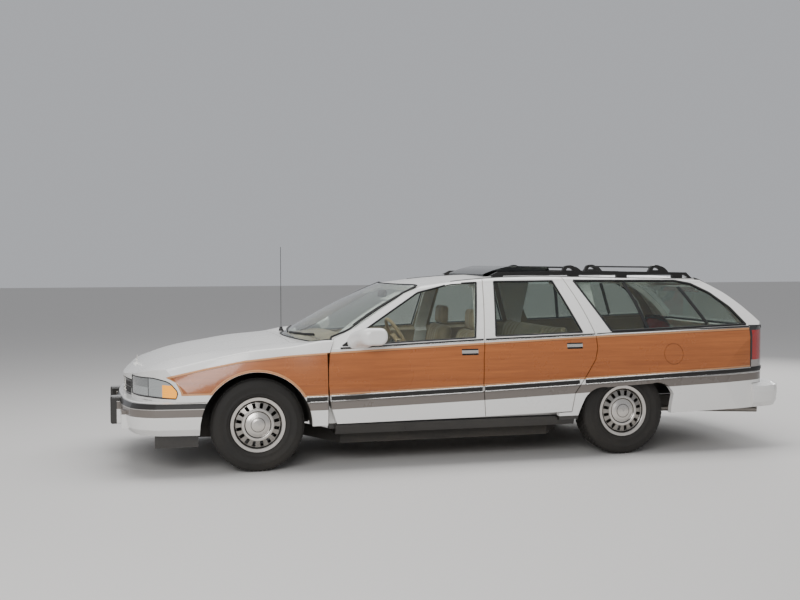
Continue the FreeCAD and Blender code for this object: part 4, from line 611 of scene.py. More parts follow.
def even_points(tree, curve, mode, value):
    """A curve with evenly set points, by their distance or their count."""
    run = tree.nodes.new("GeometryNodeResampleCurve")
    run.mode = mode
    tree.links.new(curve, run.inputs["Curve"])
    tree.links.new(value, run.inputs["Length" if mode == "LENGTH" else "Count"])
    return run.outputs["Curve"]


def rounded_section(tree, width, height, rounding):
    """A flat section with rounded corners."""
    flat = joined(tree, "GeometryNodeCurvePrimitiveQuadrilateral", Width=width, Height=height)
    section = tree.nodes.new("GeometryNodeFilletCurve")
    section.mode = "POLY"
    tree.links.new(flat.outputs["Curve"], section.inputs["Curve"])
    tree.links.new(rounding, section.inputs["Radius"])
    section.inputs["Count"].default_value = 2
    return section.outputs["Curve"]


def grown_mesh(tree, start, **values):
    """The plain mesh that a geometry tree makes from a starting mesh."""
    seed = bpy.data.objects.new("seed", start)
    scene.collection.objects.link(seed)
    modifier = seed.modifiers.new("grow", "NODES")
    modifier.node_group = tree
    sockets = {item.name: item.identifier for item in tree.interface.items_tree if item.in_out == "INPUT"}
    for label, value in values.items():
        modifier[sockets[label.replace("_", " ")]] = value
    made = bpy.data.meshes.new_from_object(seed.evaluated_get(bpy.context.evaluated_depsgraph_get()))
    bpy.data.objects.remove(seed)
    return made


def frame_body(node):
    """The body that a CAD node rides on."""
    return body_of(nodes[node])[0]


def add_piece(name, mesh, body, slot, *replaced):
    """A finished piece riding on a body, in place of any CAD nodes named."""
    mesh.name = name
    made = bpy.data.objects.new(name, mesh)
    scene.collection.objects.link(made)
    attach(made, body)
    if replaced:
        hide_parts(*replaced)
    return made


skin_moulding, mould_in, mould_out = geometry_tree(
    "skin_moulding",
    (
        ("Skin", "NodeSocketObject", None),
        ("Aim", "NodeSocketVector", (0, 1, 0)),
        ("Width", "NodeSocketFloat", 0.012),
        ("Thickness", "NodeSocketFloat", 0.006),
        ("Spacing", "NodeSocketFloat", 0.02),
        ("Material", "NodeSocketMaterial", None),
    ),
)
mould_skin = joined(skin_moulding, "GeometryNodeObjectInfo", Object=mould_in.outputs["Skin"])
mould_line = joined(skin_moulding, "GeometryNodeMeshToCurve", Mesh=mould_in.outputs["Geometry"])
mould_run = even_points(skin_moulding, mould_line.outputs["Curve"], "LENGTH", mould_in.outputs["Spacing"])
mould_hit = joined(
    skin_moulding,
    "GeometryNodeRaycast",
    Target_Geometry=mould_skin.outputs["Geometry"],
    Source_Position=skin_moulding.nodes.new("GeometryNodeInputPosition").outputs[0],
    Ray_Direction=mould_in.outputs["Aim"],
    Ray_Length=4.0,
)
mould_keep = skin_moulding.nodes.new("GeometryNodeCaptureAttribute")
mould_keep.capture_items.new("VECTOR", "place")
mould_keep.capture_items.new("VECTOR", "facing")
mould_keep.capture_items.new("BOOLEAN", "missed")
missed = skin_moulding.nodes.new("FunctionNodeBooleanMath")
missed.operation = "NOT"
skin_moulding.links.new(mould_hit.outputs["Is Hit"], missed.inputs[0])
skin_moulding.links.new(mould_run, mould_keep.inputs[0])
skin_moulding.links.new(mould_hit.outputs["Hit Position"], mould_keep.inputs["place"])
skin_moulding.links.new(mould_hit.outputs["Hit Normal"], mould_keep.inputs["facing"])
skin_moulding.links.new(missed.outputs[0], mould_keep.inputs["missed"])
mould_trim = skin_moulding.nodes.new("GeometryNodeDeleteGeometry")
skin_moulding.links.new(mould_keep.outputs["Geometry"], mould_trim.inputs["Geometry"])
skin_moulding.links.new(mould_keep.outputs["missed"], mould_trim.inputs["Selection"])
mould_blur = skin_moulding.nodes.new("GeometryNodeBlurAttribute")
mould_blur.data_type = "FLOAT_VECTOR"
skin_moulding.links.new(mould_keep.outputs["facing"], mould_blur.inputs["Value"])
mould_blur.inputs["Iterations"].default_value = 3
mould_laid = joined(
    skin_moulding,
    "GeometryNodeSetPosition",
    Geometry=mould_trim.outputs["Geometry"],
    Position=mould_keep.outputs["place"],
)
mould_turned = skin_moulding.nodes.new("GeometryNodeSetCurveNormal")
mould_turned.mode = "FREE"
skin_moulding.links.new(mould_laid.outputs["Geometry"], mould_turned.inputs["Curve"])
skin_moulding.links.new(mould_blur.outputs["Value"], mould_turned.inputs["Normal"])
mould_section = rounded_section(
    skin_moulding,
    mould_in.outputs["Thickness"],
    mould_in.outputs["Width"],
    sum_of(skin_moulding, "MULTIPLY", mould_in.outputs["Thickness"], 0.42),
)
mould_solid = joined(
    skin_moulding,
    "GeometryNodeCurveToMesh",
    Curve=mould_turned.outputs["Curve"],
    Profile_Curve=mould_section,
    Fill_Caps=True,
)
end_tree(skin_moulding, mould_solid.outputs["Mesh"], mould_in, mould_out)


def lay_moulding(
    name, skin, body, points, aim, width, thickness, material, slot, closed=False, spacing=0.02
):
    """A strip of rounded section laid on a panel along the line seen in a direction."""
    line = bpy.data.meshes.new(name)
    edges = [(index, index + 1) for index in range(len(points) - 1)]
    if closed:
        edges.append((len(points) - 1, 0))
    line.from_pydata([tuple(point) for point in points], edges, [])
    mesh = grown_mesh(
        skin_moulding,
        line,
        Skin=nodes[skin],
        Aim=aim,
        Width=width,
        Thickness=thickness,
        Spacing=spacing,
        Material=material,
    )
    return add_piece(name, mesh, body, slot)


def on_line(points, x):
    """Height at x of a line of straight runs, all in mm."""
    pairs = list(zip(points[:-1], points[1:]))
    for (x0, z0), (x1, z1) in pairs:
        if x <= x1 or (x0, z0) == pairs[-1][0]:
            return z0 + (z1 - z0) * (x - x0) / (x1 - x0)


def run_beside(line, start, end, shift, step=60.0):
    """Points of that line between two places, shifted up by so many mm."""
    count = max(2, int((end - start) / step) + 1)
    stations = [start + (end - start) * index / (count - 1) for index in range(count)]
    return [(x, on_line(line, x) + shift) for x in stations]


# Window rubbers: a soft black bead pressed in all round each pane. It follows the
# pane's own sharp edges, so the inner and the outer lip meet in one thick bead.
edge_bead, bead_in, bead_out = geometry_tree(
    "edge_bead",
    (
        ("Radius", "NodeSocketFloat", 0.006),
        ("Sharpness", "NodeSocketFloat", 0.9),
        ("Spacing", "NodeSocketFloat", 0.025),
        ("Material", "NodeSocketMaterial", None),
    ),
)
bead_angle = edge_bead.nodes.new("GeometryNodeInputMeshEdgeAngle").outputs["Unsigned Angle"]
bead_weld = joined(
    edge_bead, "GeometryNodeMergeByDistance", Geometry=bead_in.outputs["Geometry"], Distance=0.0002
)
bead_line = joined(
    edge_bead,
    "GeometryNodeMeshToCurve",
    Mesh=bead_weld.outputs["Geometry"],
    Selection=sum_of(edge_bead, "GREATER_THAN", bead_angle, bead_in.outputs["Sharpness"]),
)
bead_run = even_points(edge_bead, bead_line.outputs["Curve"], "LENGTH", bead_in.outputs["Spacing"])
bead_ring = joined(
    edge_bead, "GeometryNodeCurvePrimitiveCircle", Resolution=8, Radius=bead_in.outputs["Radius"]
)
bead_solid = joined(
    edge_bead,
    "GeometryNodeCurveToMesh",
    Curve=bead_run,
    Profile_Curve=bead_ring.outputs["Curve"],
    Fill_Caps=True,
)
bead_smooth = joined(
    edge_bead, "GeometryNodeSetShadeSmooth", Geometry=bead_solid.outputs["Mesh"], Shade_Smooth=True
)
end_tree(edge_bead, bead_smooth.outputs["Geometry"], bead_in, bead_out)
for pane, body, thickness in (
    ("windshield", "car_body", 0.008),
    ("glass_front_left", "front_door_left", 0.008),
    ("glass_front_right", "front_door_right", 0.008),
    ("glass_rear_left", "rear_door_left", 0.008),
    ("glass_rear_right", "rear_door_right", 0.008),
    ("quarter_windows", "car_body", 0.011),
    ("tailgate_window", "tailgate_window", 0.009),
    ("headlamps", "car_body", 0.004),
    ("taillamps", "car_body", 0.004),
):
    bead = grown_mesh(
        edge_bead,
        nodes[pane].data.copy(),
        Radius=thickness,
        Sharpness=0.9,
        Spacing=0.02,
        Material=window_rubber,
    )
    add_piece(pane + "_bead", bead, body, "seal_rubber")

BELT = ((592, 910), (1745, 953), (2825, 981), (4045, 1013))
# Columns: panel's node, body, ends of its lower strips, of the film's top border and
# of the belt strip.
SIDE_PANELS = (
    ("front_fenders", "car_body", (346, 502), (-655, 505), None),
    ("door_front_%s", "front_door_%s", (530, 1713), (537, 1735), (610, 1737)),
    ("door_rear_%s", "rear_door_%s", (1731, 2520), (1753, 2674), (1755, 2670)),
    ("quarter_panels", "car_body", (2572, 4268), (2694, 4062), (2690, 4064)),
)
# Columns: name, line, shift of its middle in mm, width, thickness, material, slot.
LOWER_STRIPS = (
    ("rub_strip", STRIP_TOP, -22, 0.042, 0.012, black_plastic, "black_plastic"),
    ("strip_top_line", STRIP_TOP, -2, 0.005, 0.018, bright_metal, "bright_trim"),
    ("strip_low_line", STRIP_TOP, -41, 0.004, 0.016, bright_metal, "bright_trim"),
)
for side, sign in (("left", -1.0), ("right", 1.0)):

    def beside(points):
        """Side-view points in mm, as places outside this side of the car."""
        return [(px / 1000 + FRONT_AXLE, sign * 1.3, pz / 1000) for px, pz in points]

    for node, body, low_ends, border_ends, belt_ends in SIDE_PANELS:
        node = node.replace("%s", side)
        body = body.replace("%s", side)
        stem = node if side in node else "%s_%s" % (node, side)
        for name, line, shift, width, thickness, material, slot in LOWER_STRIPS:
            run = beside(run_beside(line, low_ends[0], low_ends[1], shift))
            lay_moulding(
                "%s_%s" % (stem, name), node, body, run, (0, -sign, 0), width, thickness, material, slot
            )
        run = beside(run_beside(WOOD_TOP, border_ends[0], border_ends[1], -8))
        lay_moulding(
            stem + "_film_border",
            node,
            body,
            run,
            (0, -sign, 0),
            0.013,
            0.006,
            tan_plastic,
            "black_plastic",
        )
        if belt_ends:
            run = beside(run_beside(BELT, belt_ends[0], belt_ends[1], 2))
            lay_moulding(
                stem + "_belt_rubber",
                node,
                body,
                run,
                (0, -sign, 0),
                0.014,
                0.009,
                black_plastic,
                "black_plastic",
            )
            run = beside(run_beside(BELT, belt_ends[0], belt_ends[1], -7))
            lay_moulding(
                stem + "_belt_line",
                node,
                body,
                run,
                (0, -sign, 0),
                0.005,
                0.010,
                bright_metal,
                "bright_trim",
            )

# Arch lips and roof rails: a thin tan strip round the front arches, and the black
# channel along both edges of the roof.
def arch_points(centre_x, centre_z, radius, start, end, sign, count=28):
    """Places beside one side of the car along an arc, between two angles in degrees."""
    angles = [math.radians(start + (end - start) * index / (count - 1)) for index in range(count)]
    return [
        (
            (centre_x + radius * math.cos(a)) / 1000 + FRONT_AXLE,
            sign * 1.3,
            (centre_z + radius * math.sin(a)) / 1000,
        )
        for a in angles
    ]


for side, sign in (("left", -1.0), ("right", 1.0)):
    arc = arch_points(-20, 340, 424, 34, 143, sign)
    lay_moulding(
        "fender_%s_arch_border" % side,
        "front_fenders",
        "car_body",
        arc,
        (0, -sign, 0),
        0.012,
        0.006,
        tan_plastic,
        "black_plastic",
    )
    roof_line = [
        (x / 1000 + FRONT_AXLE, sign * y / 1000, 2.0)
        for x, y in ((1560, 664), (1900, 676), (2700, 682), (3500, 668), (4080, 648))
    ]
    lay_moulding(
        "roof_channel_" + side,
        "roof_panel",
        "car_body",
        roof_line,
        (0, 0, -1),
        0.018,
        0.010,
        black_plastic,
        "black_plastic",
    )

    bars = (((3515, 1345), (3560, 1275), (3693, 1040)), ((3018, 1400), (3085, 1230), (3150, 1010)))
    for number, bar in enumerate(bars, 1):
        bar_line = [(x / 1000 + FRONT_AXLE, sign * 1.3, z / 1000) for x, z in bar]
        name = "quarter_window_bar_%d_%s" % (number, side)
        lay_moulding(
            name,
            "quarter_windows",
            "car_body",
            bar_line,
            (0, -sign, 0),
            0.030,
            0.006,
            window_rubber,
            "seal_rubber",
        )
# Columns: wiper, and its places behind the front axle and across the car.
for name, places in (
    ("wiper_left", ((0.37, -0.04), (0.39, -0.22), (0.43, -0.42), (0.48, -0.56))),
    ("wiper_right", ((0.48, 0.56), (0.43, 0.42), (0.39, 0.22), (0.37, 0.06))),
):
    blade = [(x + FRONT_AXLE, y, 2.0) for x, y in places]
    lay_moulding(
        name, "windshield", "car_body", blade, (0, 0, -1), 0.012, 0.022, black_plastic, "black_plastic"
    )

# Lamps: clear fluted headlamp glass over a bright bowl with the amber turn lamp lit
# at its outer corner, and red ribbed tail lamps with a dark cap and clear base.
def fluted_lens(name, patches, base, ribs, glow=None, roughness=0.08):
    """Lamp glass with moulded upright ribs, and boxes of other colours."""
    material = patched_paint(name, patches, base, roughness, coat=1.0, dust=0.2, glow=glow)
    tree = material.node_tree
    shader = tree.nodes["Principled BSDF"]
    place = tree.nodes.new("ShaderNodeTexCoord").outputs["Object"]
    wave = joined(tree, "ShaderNodeTexWave", Vector=place, Scale=ribs, Distortion=0.0)
    wave.bands_direction = "DIAGONAL"
    bump = joined(tree, "ShaderNodeBump", Strength=0.6, Distance=0.003, Height=wave.outputs["Fac"])
    tree.links.new(bump.outputs["Normal"], shader.inputs["Normal"])
    return material


headlamp_lens = fluted_lens(
    "headlamp_lens",
    (
        ((0.05, 0.05, 0.05, 1), 0.0, (-1000, 0, 560), (-500, 1000, 580)),
        ((0.05, 0.05, 0.05, 1), 0.0, (-790, 560, 560), (-784, 1000, 800)),
        ((0.20, 0.21, 0.21, 1), 0.0, (-1000, 0, 640), (-790, 1000, 800)),
        ((0.90, 0.33, 0.008, 1), 0.0, (-692, 700, 578), (-560, 1000, 668)),
    ),
    (0.36, 0.38, 0.38, 1),
    28.0,
    glow=((-692, 700, 578), (-560, 1000, 668), (1.0, 0.40, 0.01, 1), 0.8),
)
dress("headlamps", headlamp_lens)
taillamp_lens = fluted_lens(
    "taillamp_lens",
    (
        ((0.01, 0.01, 0.01, 1), 0.0, (4000, 0, 985), (4500, 1000, 1100)),
        ((0.01, 0.01, 0.01, 1), 0.0, (4000, 780, 600), (4088, 1000, 1100)),
        ((0.32, 0.29, 0.27, 1), 0.0, (4000, 0, 650), (4500, 1000, 740)),
    ),
    (0.36, 0.006, 0.004, 1),
    34.0,
)
dress("taillamps", taillamp_lens)

# Grille and vents: bright upright bars over a dark radiator, and slatted outlets in
# the dashboard. Each is a row of the same rounded slat between two places.
slat_row, slat_in, slat_out = geometry_tree(
    "slat_row",
    (
        ("Count", "NodeSocketInt", 8),
        ("Long", "NodeSocketFloat", 0.1),
        ("Wide", "NodeSocketFloat", 0.01),
        ("Thick", "NodeSocketFloat", 0.002),
        ("Material", "NodeSocketMaterial", None),
    ),
)
slat_path = joined(slat_row, "GeometryNodeMeshToCurve", Mesh=slat_in.outputs["Geometry"])
slat_points = even_points(slat_row, slat_path.outputs["Curve"], "COUNT", slat_in.outputs["Count"])
slat_section = rounded_section(
    slat_row,
    slat_in.outputs["Wide"],
    slat_in.outputs["Thick"],
    sum_of(slat_row, "MULTIPLY", slat_in.outputs["Thick"], 0.45),
)
slat_axis = slat_row.nodes.new("GeometryNodeCurvePrimitiveLine")
slat_ends = []
for half in (-0.5, 0.5):
    end = joined(
        slat_row, "ShaderNodeCombineXYZ", Y=sum_of(slat_row, "MULTIPLY", slat_in.outputs["Long"], half)
    )
    slat_ends.append(end.outputs["Vector"])
slat_row.links.new(slat_ends[0], slat_axis.inputs["Start"])
slat_row.links.new(slat_ends[1], slat_axis.inputs["End"])
slat_bar = joined(
    slat_row,
    "GeometryNodeCurveToMesh",
    Curve=slat_axis.outputs["Curve"],
    Profile_Curve=slat_section,
    Fill_Caps=True,
)
slat_set = joined(
    slat_row, "GeometryNodeInstanceOnPoints", Points=slat_points, Instance=slat_bar.outputs["Mesh"]
)
end_tree(slat_row, slat_set.outputs["Instances"], slat_in, slat_out)

radiator_black = plain_finish(
    "radiator_black", (0.03, 0.03, 0.032, 1), 0.6, metallic=0.4, dust=0.5, bump=0.3
)


def row_of_slats(
    name, start, end, count, long, wide, thick, material, body="car_body", slot="black_plastic"
):
    """Slats across the car in a row from one place to another."""
    line = bpy.data.meshes.new(name)
    line.from_pydata([start, end], [(0, 1)], [])
    mesh = grown_mesh(slat_row, line, Count=count, Long=long, Wide=wide, Thick=thick, Material=material)
    return add_piece(name, mesh, body, slot)


fin_x = -790 / 1000 + FRONT_AXLE
row_of_slats("radiator_fins", (fin_x, 0, 0.44), (fin_x, 0, 0.66), 30, 0.74, 0.012, 0.002, radiator_black)
for name, y in (
    ("vent_far_left", -0.66), ("vent_left", -0.16), ("vent_right", 0.16), ("vent_far_right", 0.66)
):
    vent_x = 934 / 1000 + FRONT_AXLE
    row_of_slats(name, (vent_x, y, 0.775), (vent_x, y, 0.835), 6, 0.11, 0.012, 0.003, black_plastic)

# Tyres: a moulded rubber casing turned in one piece, with ribs round its wall, and
# five rows of slanted tread blocks set round it.
tyre_rubber = plain_finish(
    "tyre_rubber", (0.009, 0.0085, 0.008, 1), 0.72, dust=0.09, bump=0.3, grain=400.0, top=0.9
)
TREAD_PITCHES = 66
tread_ring, tread_in, tread_out = geometry_tree(
    "tread_ring",
    (
        ("Block", "NodeSocketObject", None),
        ("Pitches", "NodeSocketInt", TREAD_PITCHES),
        ("Radius", "NodeSocketFloat", 0.33),
        ("Material", "NodeSocketMaterial", None),
    ),
)
tread_circle = joined(
    tread_ring,
    "GeometryNodeMeshCircle",
    Vertices=tread_in.outputs["Pitches"],
    Radius=tread_in.outputs["Radius"],
)
tread_step = sum_of(tread_ring, "DIVIDE", 2.0 * math.pi, tread_in.outputs["Pitches"])
tread_turn = joined(
    tread_ring,
    "ShaderNodeCombineXYZ",
    Z=sum_of(tread_ring, "MULTIPLY", tread_ring.nodes.new("GeometryNodeInputIndex").outputs[0], tread_step),
)
tread_block = joined(tread_ring, "GeometryNodeObjectInfo", Object=tread_in.outputs["Block"])
tread_set = joined(
    tread_ring,
    "GeometryNodeInstanceOnPoints",
    Points=tread_circle.outputs["Mesh"],
    Instance=tread_block.outputs["Geometry"],
    Rotation=tread_turn.outputs["Vector"],
)
tread_both = tread_ring.nodes.new("GeometryNodeJoinGeometry")
tread_ring.links.new(tread_set.outputs["Instances"], tread_both.inputs["Geometry"])
tread_ring.links.new(tread_in.outputs["Geometry"], tread_both.inputs["Geometry"])
end_tree(tread_ring, tread_both.outputs["Geometry"], tread_in, tread_out)


def turned_casing(name, profile, steps=120):
    """A closed ring turned round the upright axis from a closed section of (radius, height) in metres."""
    mesh = bpy.data.meshes.new(name)
    places, faces = [], []
    for step in range(steps):
        angle = 2.0 * math.pi * step / steps
        places += [(r * math.cos(angle), r * math.sin(angle), h) for r, h in profile]
    count = len(profile)
    for step in range(steps):
        here, there = step * count, ((step + 1) % steps) * count
        for index in range(count):
            after = (index + 1) % count
            faces.append((here + index, there + index, there + after, here + after))
    mesh.from_pydata(places, [], faces)
    mesh.polygons.foreach_set("use_smooth", [True] * len(faces))
    return mesh


tyre_low, tyre_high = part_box("tyre_front_left")
tyre_radius = (tyre_high.z - tyre_low.z) / 2
half_width = (tyre_high.y - tyre_low.y) / 2
tread_base = tyre_radius - 0.007
half_section = [
    (0.207, 0.80 * half_width), (0.218, 0.86 * half_width), (0.232, 0.90 * half_width), (
        0.236, 0.93 * half_width
    ),
    (0.240, 0.90 * half_width), (0.262, 0.965 * half_width), (0.285, 0.985 * half_width), (
        0.289, 0.99 * half_width
    ),
    (0.293, 0.975 * half_width), (0.306, 0.95 * half_width), (tyre_radius - 0.022, 0.90 * half_width),
    (tyre_radius - 0.010, 0.83 * half_width), (tread_base, 0.76 * half_width),
]
casing_section = half_section + [(tread_base + 0.001, 0.0)] + [(r, -h) for r, h in reversed(half_section)]
block_mesh = bpy.data.meshes.new("tread_block")
block_places, block_faces = [], []
pitch = 2.0 * math.pi * tread_base / TREAD_PITCHES
for row, (middle, wide, lean, shift) in enumerate(
    (
        (-0.66, 0.20, 0.35, 0.0),
        (-0.33, 0.22, 0.55, 0.5),
        (0.0, 0.20, 0.0, 0.0),
        (0.33, 0.22, -0.55, 0.5),
        (0.66, 0.20, -0.35, 0.0),
    )
):
    first = len(block_places)
    for radial, shrink in ((-0.003, 1.0), (0.0048, 1.0), (0.006, 0.88)):
        for u, v in ((-1, -1), (1, -1), (1, 1), (-1, 1)):
            across = (middle + u * wide / 2 * shrink) * half_width
            around = (v * 0.40 * shrink + shift + u * lean * 0.2) * pitch
            block_places.append((radial, around, across))
    for level in (0, 4):
        for corner in range(4):
            after = (corner + 1) % 4
            block_faces.append(
                (
                    first + level + corner,
                    first + level + 4 + corner,
                    first + level + 4 + after,
                    first + level + after,
                )
            )
    block_faces.append((first + 11, first + 10, first + 9, first + 8))
    block_faces.append((first, first + 1, first + 2, first + 3))
block_mesh.from_pydata(block_places, [], block_faces)
block_check = bmesh.new()
block_check.from_mesh(block_mesh)
bmesh.ops.recalc_face_normals(block_check, faces=block_check.faces)
block_check.to_mesh(block_mesh)
block_check.free()
tread_block_model = bpy.data.objects.new("tread_block", block_mesh)
scene.collection.objects.link(tread_block_model)
for corner in ("front_left", "front_right", "rear_left", "rear_right"):
    low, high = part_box("tyre_" + corner)
    start = turned_casing("tyre_casing", casing_section)
    tyre = grown_mesh(
        tread_ring,
        start,
        Block=tread_block_model,
        Pitches=TREAD_PITCHES,
        Radius=tread_base,
        Material=tyre_rubber,
    )
    tyre.transform(Matrix.Translation((low + high) / 2) @ Matrix.Rotation(math.pi / 2, 4, "X"))
    checked = bmesh.new()
    checked.from_mesh(tyre)
    bmesh.ops.recalc_face_normals(checked, faces=checked.faces)
    checked.to_mesh(tyre)
    checked.free()
    add_piece("tyre_casing_" + corner, tyre, frame_body("tyre_" + corner), "tyre_rubber", "tyre_" + corner)
bpy.data.objects.remove(tread_block_model)

# Wheels: cast alloy with a bright turned lip and cap over a satin slotted face,
# darker in a band over the slots and in three thin rings.
def wheel_finish():
    """Alloy that is polished at the lip and the cap and darker round its slots."""
    material, tree, shader = new_material("wheel_alloy")
    axes = joined(
        tree, "ShaderNodeSeparateXYZ", Vector=tree.nodes.new("ShaderNodeTexCoord").outputs["Object"]
    )
    behind = sum_of(tree, "GREATER_THAN", axes.outputs["X"], 0.0)
    centre = sum_of(tree, "MULTIPLY_ADD", behind, WHEELBASE, FRONT_AXLE)
    away = away_from(tree, axes, centre, tyre_radius)
    colour = (0.66, 0.63, 0.59, 1)
    for middle, half, tone in (
        (0.142, 0.024, 0.34), (0.173, 0.005, 0.06), (0.097, 0.004, 0.08), (0.052, 0.003, 0.16)
    ):
        ring = sum_of(tree, "COMPARE", away, middle, half)
        colour = blended(tree, ring, colour, (tone, tone * 0.95, tone * 0.88, 1))
    dirt = place_group(tree, road_film, Color=colour, Roughness=0.24, Dust=0.12, Top=0.9)
    tree.links.new(dirt.outputs["Color"], shader.inputs["Base Color"])
    tree.links.new(dirt.outputs["Roughness"], shader.inputs["Roughness"])
    bump = joined(tree, "ShaderNodeBump", Strength=0.08, Distance=0.001, Height=dirt.outputs["Height"])
    tree.links.new(bump.outputs["Normal"], shader.inputs["Normal"])
    shader.inputs["Metallic"].default_value = 1.0
    return material


alloy = wheel_finish()
for node in nodes:
    if node.startswith("rim_"):
        dress(node, alloy)

# Seats: leather over foam. Every pad starts as a rounded block a little smaller
# than the CAD shape and is blown up by a cloth simulation; channels come after.
def leather_finish(name, colour):
    """Grained leather with creases, a soft sheen and a little colour change."""
    material, tree, shader = new_material(name)
    place = tree.nodes.new("ShaderNodeTexCoord").outputs["Object"]
    cells = joined(tree, "ShaderNodeTexVoronoi", Vector=place, Scale=420.0)
    creases = joined(
        tree, "ShaderNodeTexNoise", Vector=place, Scale=26.0, Detail=6.0, Distortion=1.2
    ).outputs["Fac"]
    worn = joined(tree, "ShaderNodeTexNoise", Vector=place, Scale=5.0, Detail=3.0).outputs["Fac"]
    darker = tuple(part * 0.72 for part in colour[:3]) + (1,)
    tree.links.new(
        blended(tree, sum_of(tree, "MULTIPLY_ADD", worn, 1.4, -0.2, clamp=True), darker, colour),
        shader.inputs["Base Color"],
    )
    tree.links.new(sum_of(tree, "MULTIPLY_ADD", worn, -0.15, 0.52), shader.inputs["Roughness"])
    height = sum_of(tree, "MULTIPLY_ADD", creases, 0.8, cells.outputs["Distance"])
    bump = joined(tree, "ShaderNodeBump", Strength=0.25, Distance=0.0012, Height=height)
    tree.links.new(bump.outputs["Normal"], shader.inputs["Normal"])
    shader.inputs["Sheen Weight"].default_value = 0.15
    return material


seat_leather = leather_finish("seat_leather", (0.44, 0.345, 0.225, 1))
PAD_SWELL = 0.024


def pad_block(name, outline, y_low, y_high, corner=0.045):
    """A rounded block over a side-view outline in mm, between two places across the car in mm."""
    built = bmesh.new()
    rows = []
    for y in (y_low, y_high):
        rows.append([built.verts.new((x / 1000 + FRONT_AXLE, y / 1000, z / 1000)) for x, z in outline])
    built.faces.new(rows[0])
    built.faces.new(list(reversed(rows[1])))
    for index in range(len(outline)):
        after = (index + 1) % len(outline)
        built.faces.new((rows[0][index], rows[0][after], rows[1][after], rows[1][index]))
    bmesh.ops.recalc_face_normals(built, faces=built.faces)
    bmesh.ops.bevel(built, geom=built.edges[:], offset=corner, segments=4, profile=0.5, affect="EDGES")
    mesh = bpy.data.meshes.new(name)
    built.to_mesh(mesh)
    built.free()
    made = bpy.data.objects.new(name, mesh)
    scene.collection.objects.link(made)
    return made


def shrunk(outline, inset):
    """A side-view outline drawn in by so many mm from its middle."""
    cx = sum(x for x, z in outline) / len(outline)
    cz = sum(z for x, z in outline) / len(outline)
    half_x = max(abs(x - cx) for x, z in outline)
    half_z = max(abs(z - cz) for x, z in outline)
    return [
        (cx + (x - cx) * (1 - inset / half_x), cz + (z - cz) * (1 - inset / half_z))
        for x, z in outline
    ]


FRONT_CUSHION = [(1235, 440), (1735, 430), (1735, 540), (1500, 556), (1300, 575), (1235, 555)]
FRONT_BACK = [(1650, 520), (1770, 505), (1866, 1026), (1776, 1030)]
HEADREST = [(1772, 1000), (1860, 998), (1868, 1172), (1784, 1176)]
REAR_CUSHION = [(1955, 440), (2455, 430), (2455, 545), (2200, 558), (2020, 572), (1955, 550)]
REAR_BACK = [(2372, 520), (2492, 505), (2592, 1040), (2505, 1042)]
# Columns: piece, outline, from and to across the car in mm, block size for the cloth, channels across.
PADS = (
    ("front_seat_cushion", FRONT_CUSHION, -670, -190, 0.012, (-560, -495, -430, -365, -300)),
    ("front_seat_back", FRONT_BACK, -665, -195, 0.012, (-560, -495, -430, -365, -300)),
    ("front_seat_headrest", HEADREST, -550, -310, 0.009, ()),
    ("rear_seat_cushion", REAR_CUSHION, -680, 680, 0.014, (-520, -440, -360, -280, 280, 360, 440, 520)),
    ("rear_seat_back", REAR_BACK, -680, 680, 0.014, (-520, -440, -360, -280, 280, 360, 440, 520)),
)
pads = []
for name, outline, y_low, y_high, voxel, channels in PADS:
    pad = pad_block(name, shrunk(outline, 8), y_low + 8, y_high - 8, 0.030 if "headrest" in name else 0.036)
    remesh = pad.modifiers.new("even", "REMESH")
    remesh.mode = "VOXEL"
    remesh.voxel_size = voxel
    pad.data = bpy.data.meshes.new_from_object(pad.evaluated_get(bpy.context.evaluated_depsgraph_get()))
    pad.modifiers.clear()
    pads.append(pad)
for pad in pads:
    cloth = pad.modifiers.new("Cloth", "CLOTH")
    cloth.settings.use_pressure = True
    cloth.settings.uniform_pressure_force = 4.0
    cloth.settings.effector_weights.gravity = 0.0
    cloth.point_cache.frame_start = 1
    cloth.point_cache.frame_end = 20
for step in range(1, 21):
    scene.frame_set(step)
for pad in pads:
    puffed = bpy.data.meshes.new_from_object(pad.evaluated_get(bpy.context.evaluated_depsgraph_get()))
    pad.modifiers.clear()
    for before, after in zip(pad.data.vertices, puffed.vertices):
        moved = after.co - before.co
        if moved.length > PAD_SWELL:
            moved *= PAD_SWELL / moved.length
        before.co += moved
    bpy.data.meshes.remove(puffed)
scene.frame_set(1)
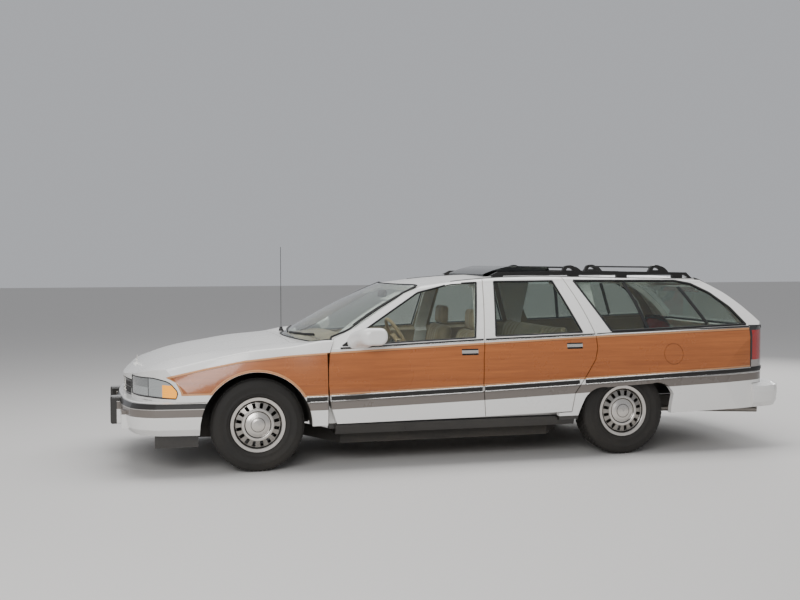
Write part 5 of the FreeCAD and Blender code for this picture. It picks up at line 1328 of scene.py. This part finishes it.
for pad, (name, outline, y_low, y_high, voxel, channels) in zip(pads, PADS):
    smooth = pad.modifiers.new("fine", "SUBSURF")
    smooth.levels = smooth.render_levels = 1
    fine = bpy.data.meshes.new_from_object(pad.evaluated_get(bpy.context.evaluated_depsgraph_get()))
    pad.modifiers.clear()
    fine.polygons.foreach_set("use_smooth", [True] * len(fine.polygons))
    xs = [vertex.co.x for vertex in fine.vertices]
    zs = [vertex.co.z for vertex in fine.vertices]
    middle = Vector(((min(xs) + max(xs)) / 2, 0, (min(zs) + max(zs)) / 2))
    facings = [vertex.normal.copy() for vertex in fine.vertices]
    places = [vertex.co.copy() for vertex in fine.vertices]
    for index, (place, facing) in enumerate(zip(places, facings)):
        y = place.y * 1000
        front_side = (place.z > middle.z) if "cushion" in name else (facing.x < -0.2)
        depth = 0.0
        if front_side:
            for channel in channels:
                depth += 0.009 * math.exp(-(((y - channel) / 8.0) ** 2))
        for edge in (y_low + 62, y_high - 62):
            depth += 0.006 * math.exp(-(((y - edge) / 7.0) ** 2))
        places[index] = place - facing * depth
    fine.vertices.foreach_set("co", [part for place in places for part in place])
    fine.materials.clear()
    fine.materials.append(seat_leather)
    bpy.data.objects.remove(pad)
    copies = (("left", 1), ("right", -1)) if "front" in name else (("bench", 1),)
    for label, turn in copies:
        mesh = fine.copy()
        if turn < 0:
            mesh.transform(Matrix.Scale(-1, 4, (0, 1, 0)))
            mesh.flip_normals()
        stand_in = "front_seats" if "front" in name else "rear_seat"
        cushion = add_piece("%s_%s" % (name, label), mesh, "car_body", "seat_leather", stand_in)

# Seat bases: moulded plinths that hold the front seats to the floor, with a
# rounded skirt all round.
seat_base_plastic = plain_finish("seat_base_plastic", (0.20, 0.165, 0.12, 1), 0.55, dust=0.2, bump=0.3)
for label, y_low, y_high in (("left", -600, -260), ("right", 260, 600)):
    base = pad_block(
        "seat_base", [(1275, 346), (1665, 346), (1640, 436), (1300, 440)], y_low, y_high, 0.014
    )
    base.data.materials.append(seat_base_plastic)
    mesh = base.data
    bpy.data.objects.remove(base)
    add_piece("seat_base_" + label, mesh, "car_body", "cabin_plastic", "front_seats")

# Cabin trim: tan moulded dashboard and wheel, dark column, tan door linings and
# carpet, with a rear-view mirror hung from the top of the windshield.
cabin_tan = plain_finish("cabin_tan", (0.36, 0.285, 0.19, 1), 0.55, dust=0.1, bump=0.5, grain=500.0)
cabin_dark = plain_finish("cabin_dark", (0.06, 0.048, 0.036, 1), 0.5, dust=0.1, bump=0.4, grain=500.0)
carpet = plain_finish("carpet", (0.20, 0.155, 0.10, 1), 0.95, dust=0.1, bump=1.0, grain=700.0)
dress("dashboard", cabin_tan)
dress("steering_wheel", leather_finish("wheel_leather", (0.50, 0.36, 0.20, 1)))
dress("steering_column", cabin_dark)
dress("floor_pan", carpet)
mirror_body = pad_block(
    "rear_view_mirror", [(1150, 1262), (1172, 1258), (1180, 1318), (1158, 1322)], -115, 115, 0.008
)
mirror_body.data.materials.append(cabin_dark)
mirror_mesh = mirror_body.data
bpy.data.objects.remove(mirror_body)
add_piece("rear_view_mirror", mirror_mesh, "car_body", "cabin_plastic")

# Underside and roof: painted frame, cast axle and engine, bare steel exhaust, and
# the satin black rack.
chassis_paint = plain_finish(
    "chassis_paint", (0.010, 0.0095, 0.009, 1), 0.6, dust=0.22, bump=0.4, grain=300.0
)
cast_iron = plain_finish(
    "cast_iron", (0.16, 0.15, 0.14, 1), 0.62, dust=0.6, metallic=0.8, bump=0.8, grain=220.0
)
bare_steel = plain_finish("bare_steel", (0.36, 0.34, 0.32, 1), 0.38, dust=0.6, metallic=1.0, bump=0.3)
for node in ("frame", "front_suspension", "fuel_tank", "engine_bay"):
    dress(node, chassis_paint)
for node in ("engine", "rear_axle", "driveline", "knuckle_left", "knuckle_right"):
    dress(node, cast_iron)
dress("exhaust", bare_steel)
for node in ("roof_rack", "antenna", "door_seals"):
    dress(node, black_plastic)
grille_bright = (FITTING_BRIGHT, 1.0, (-1100, 0, 500), (-940, 420, 700))
dress("grille", patched_paint("grille_metal", (grille_bright,), FITTING_BLACK, 0.20, coat=0.0))

low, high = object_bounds()
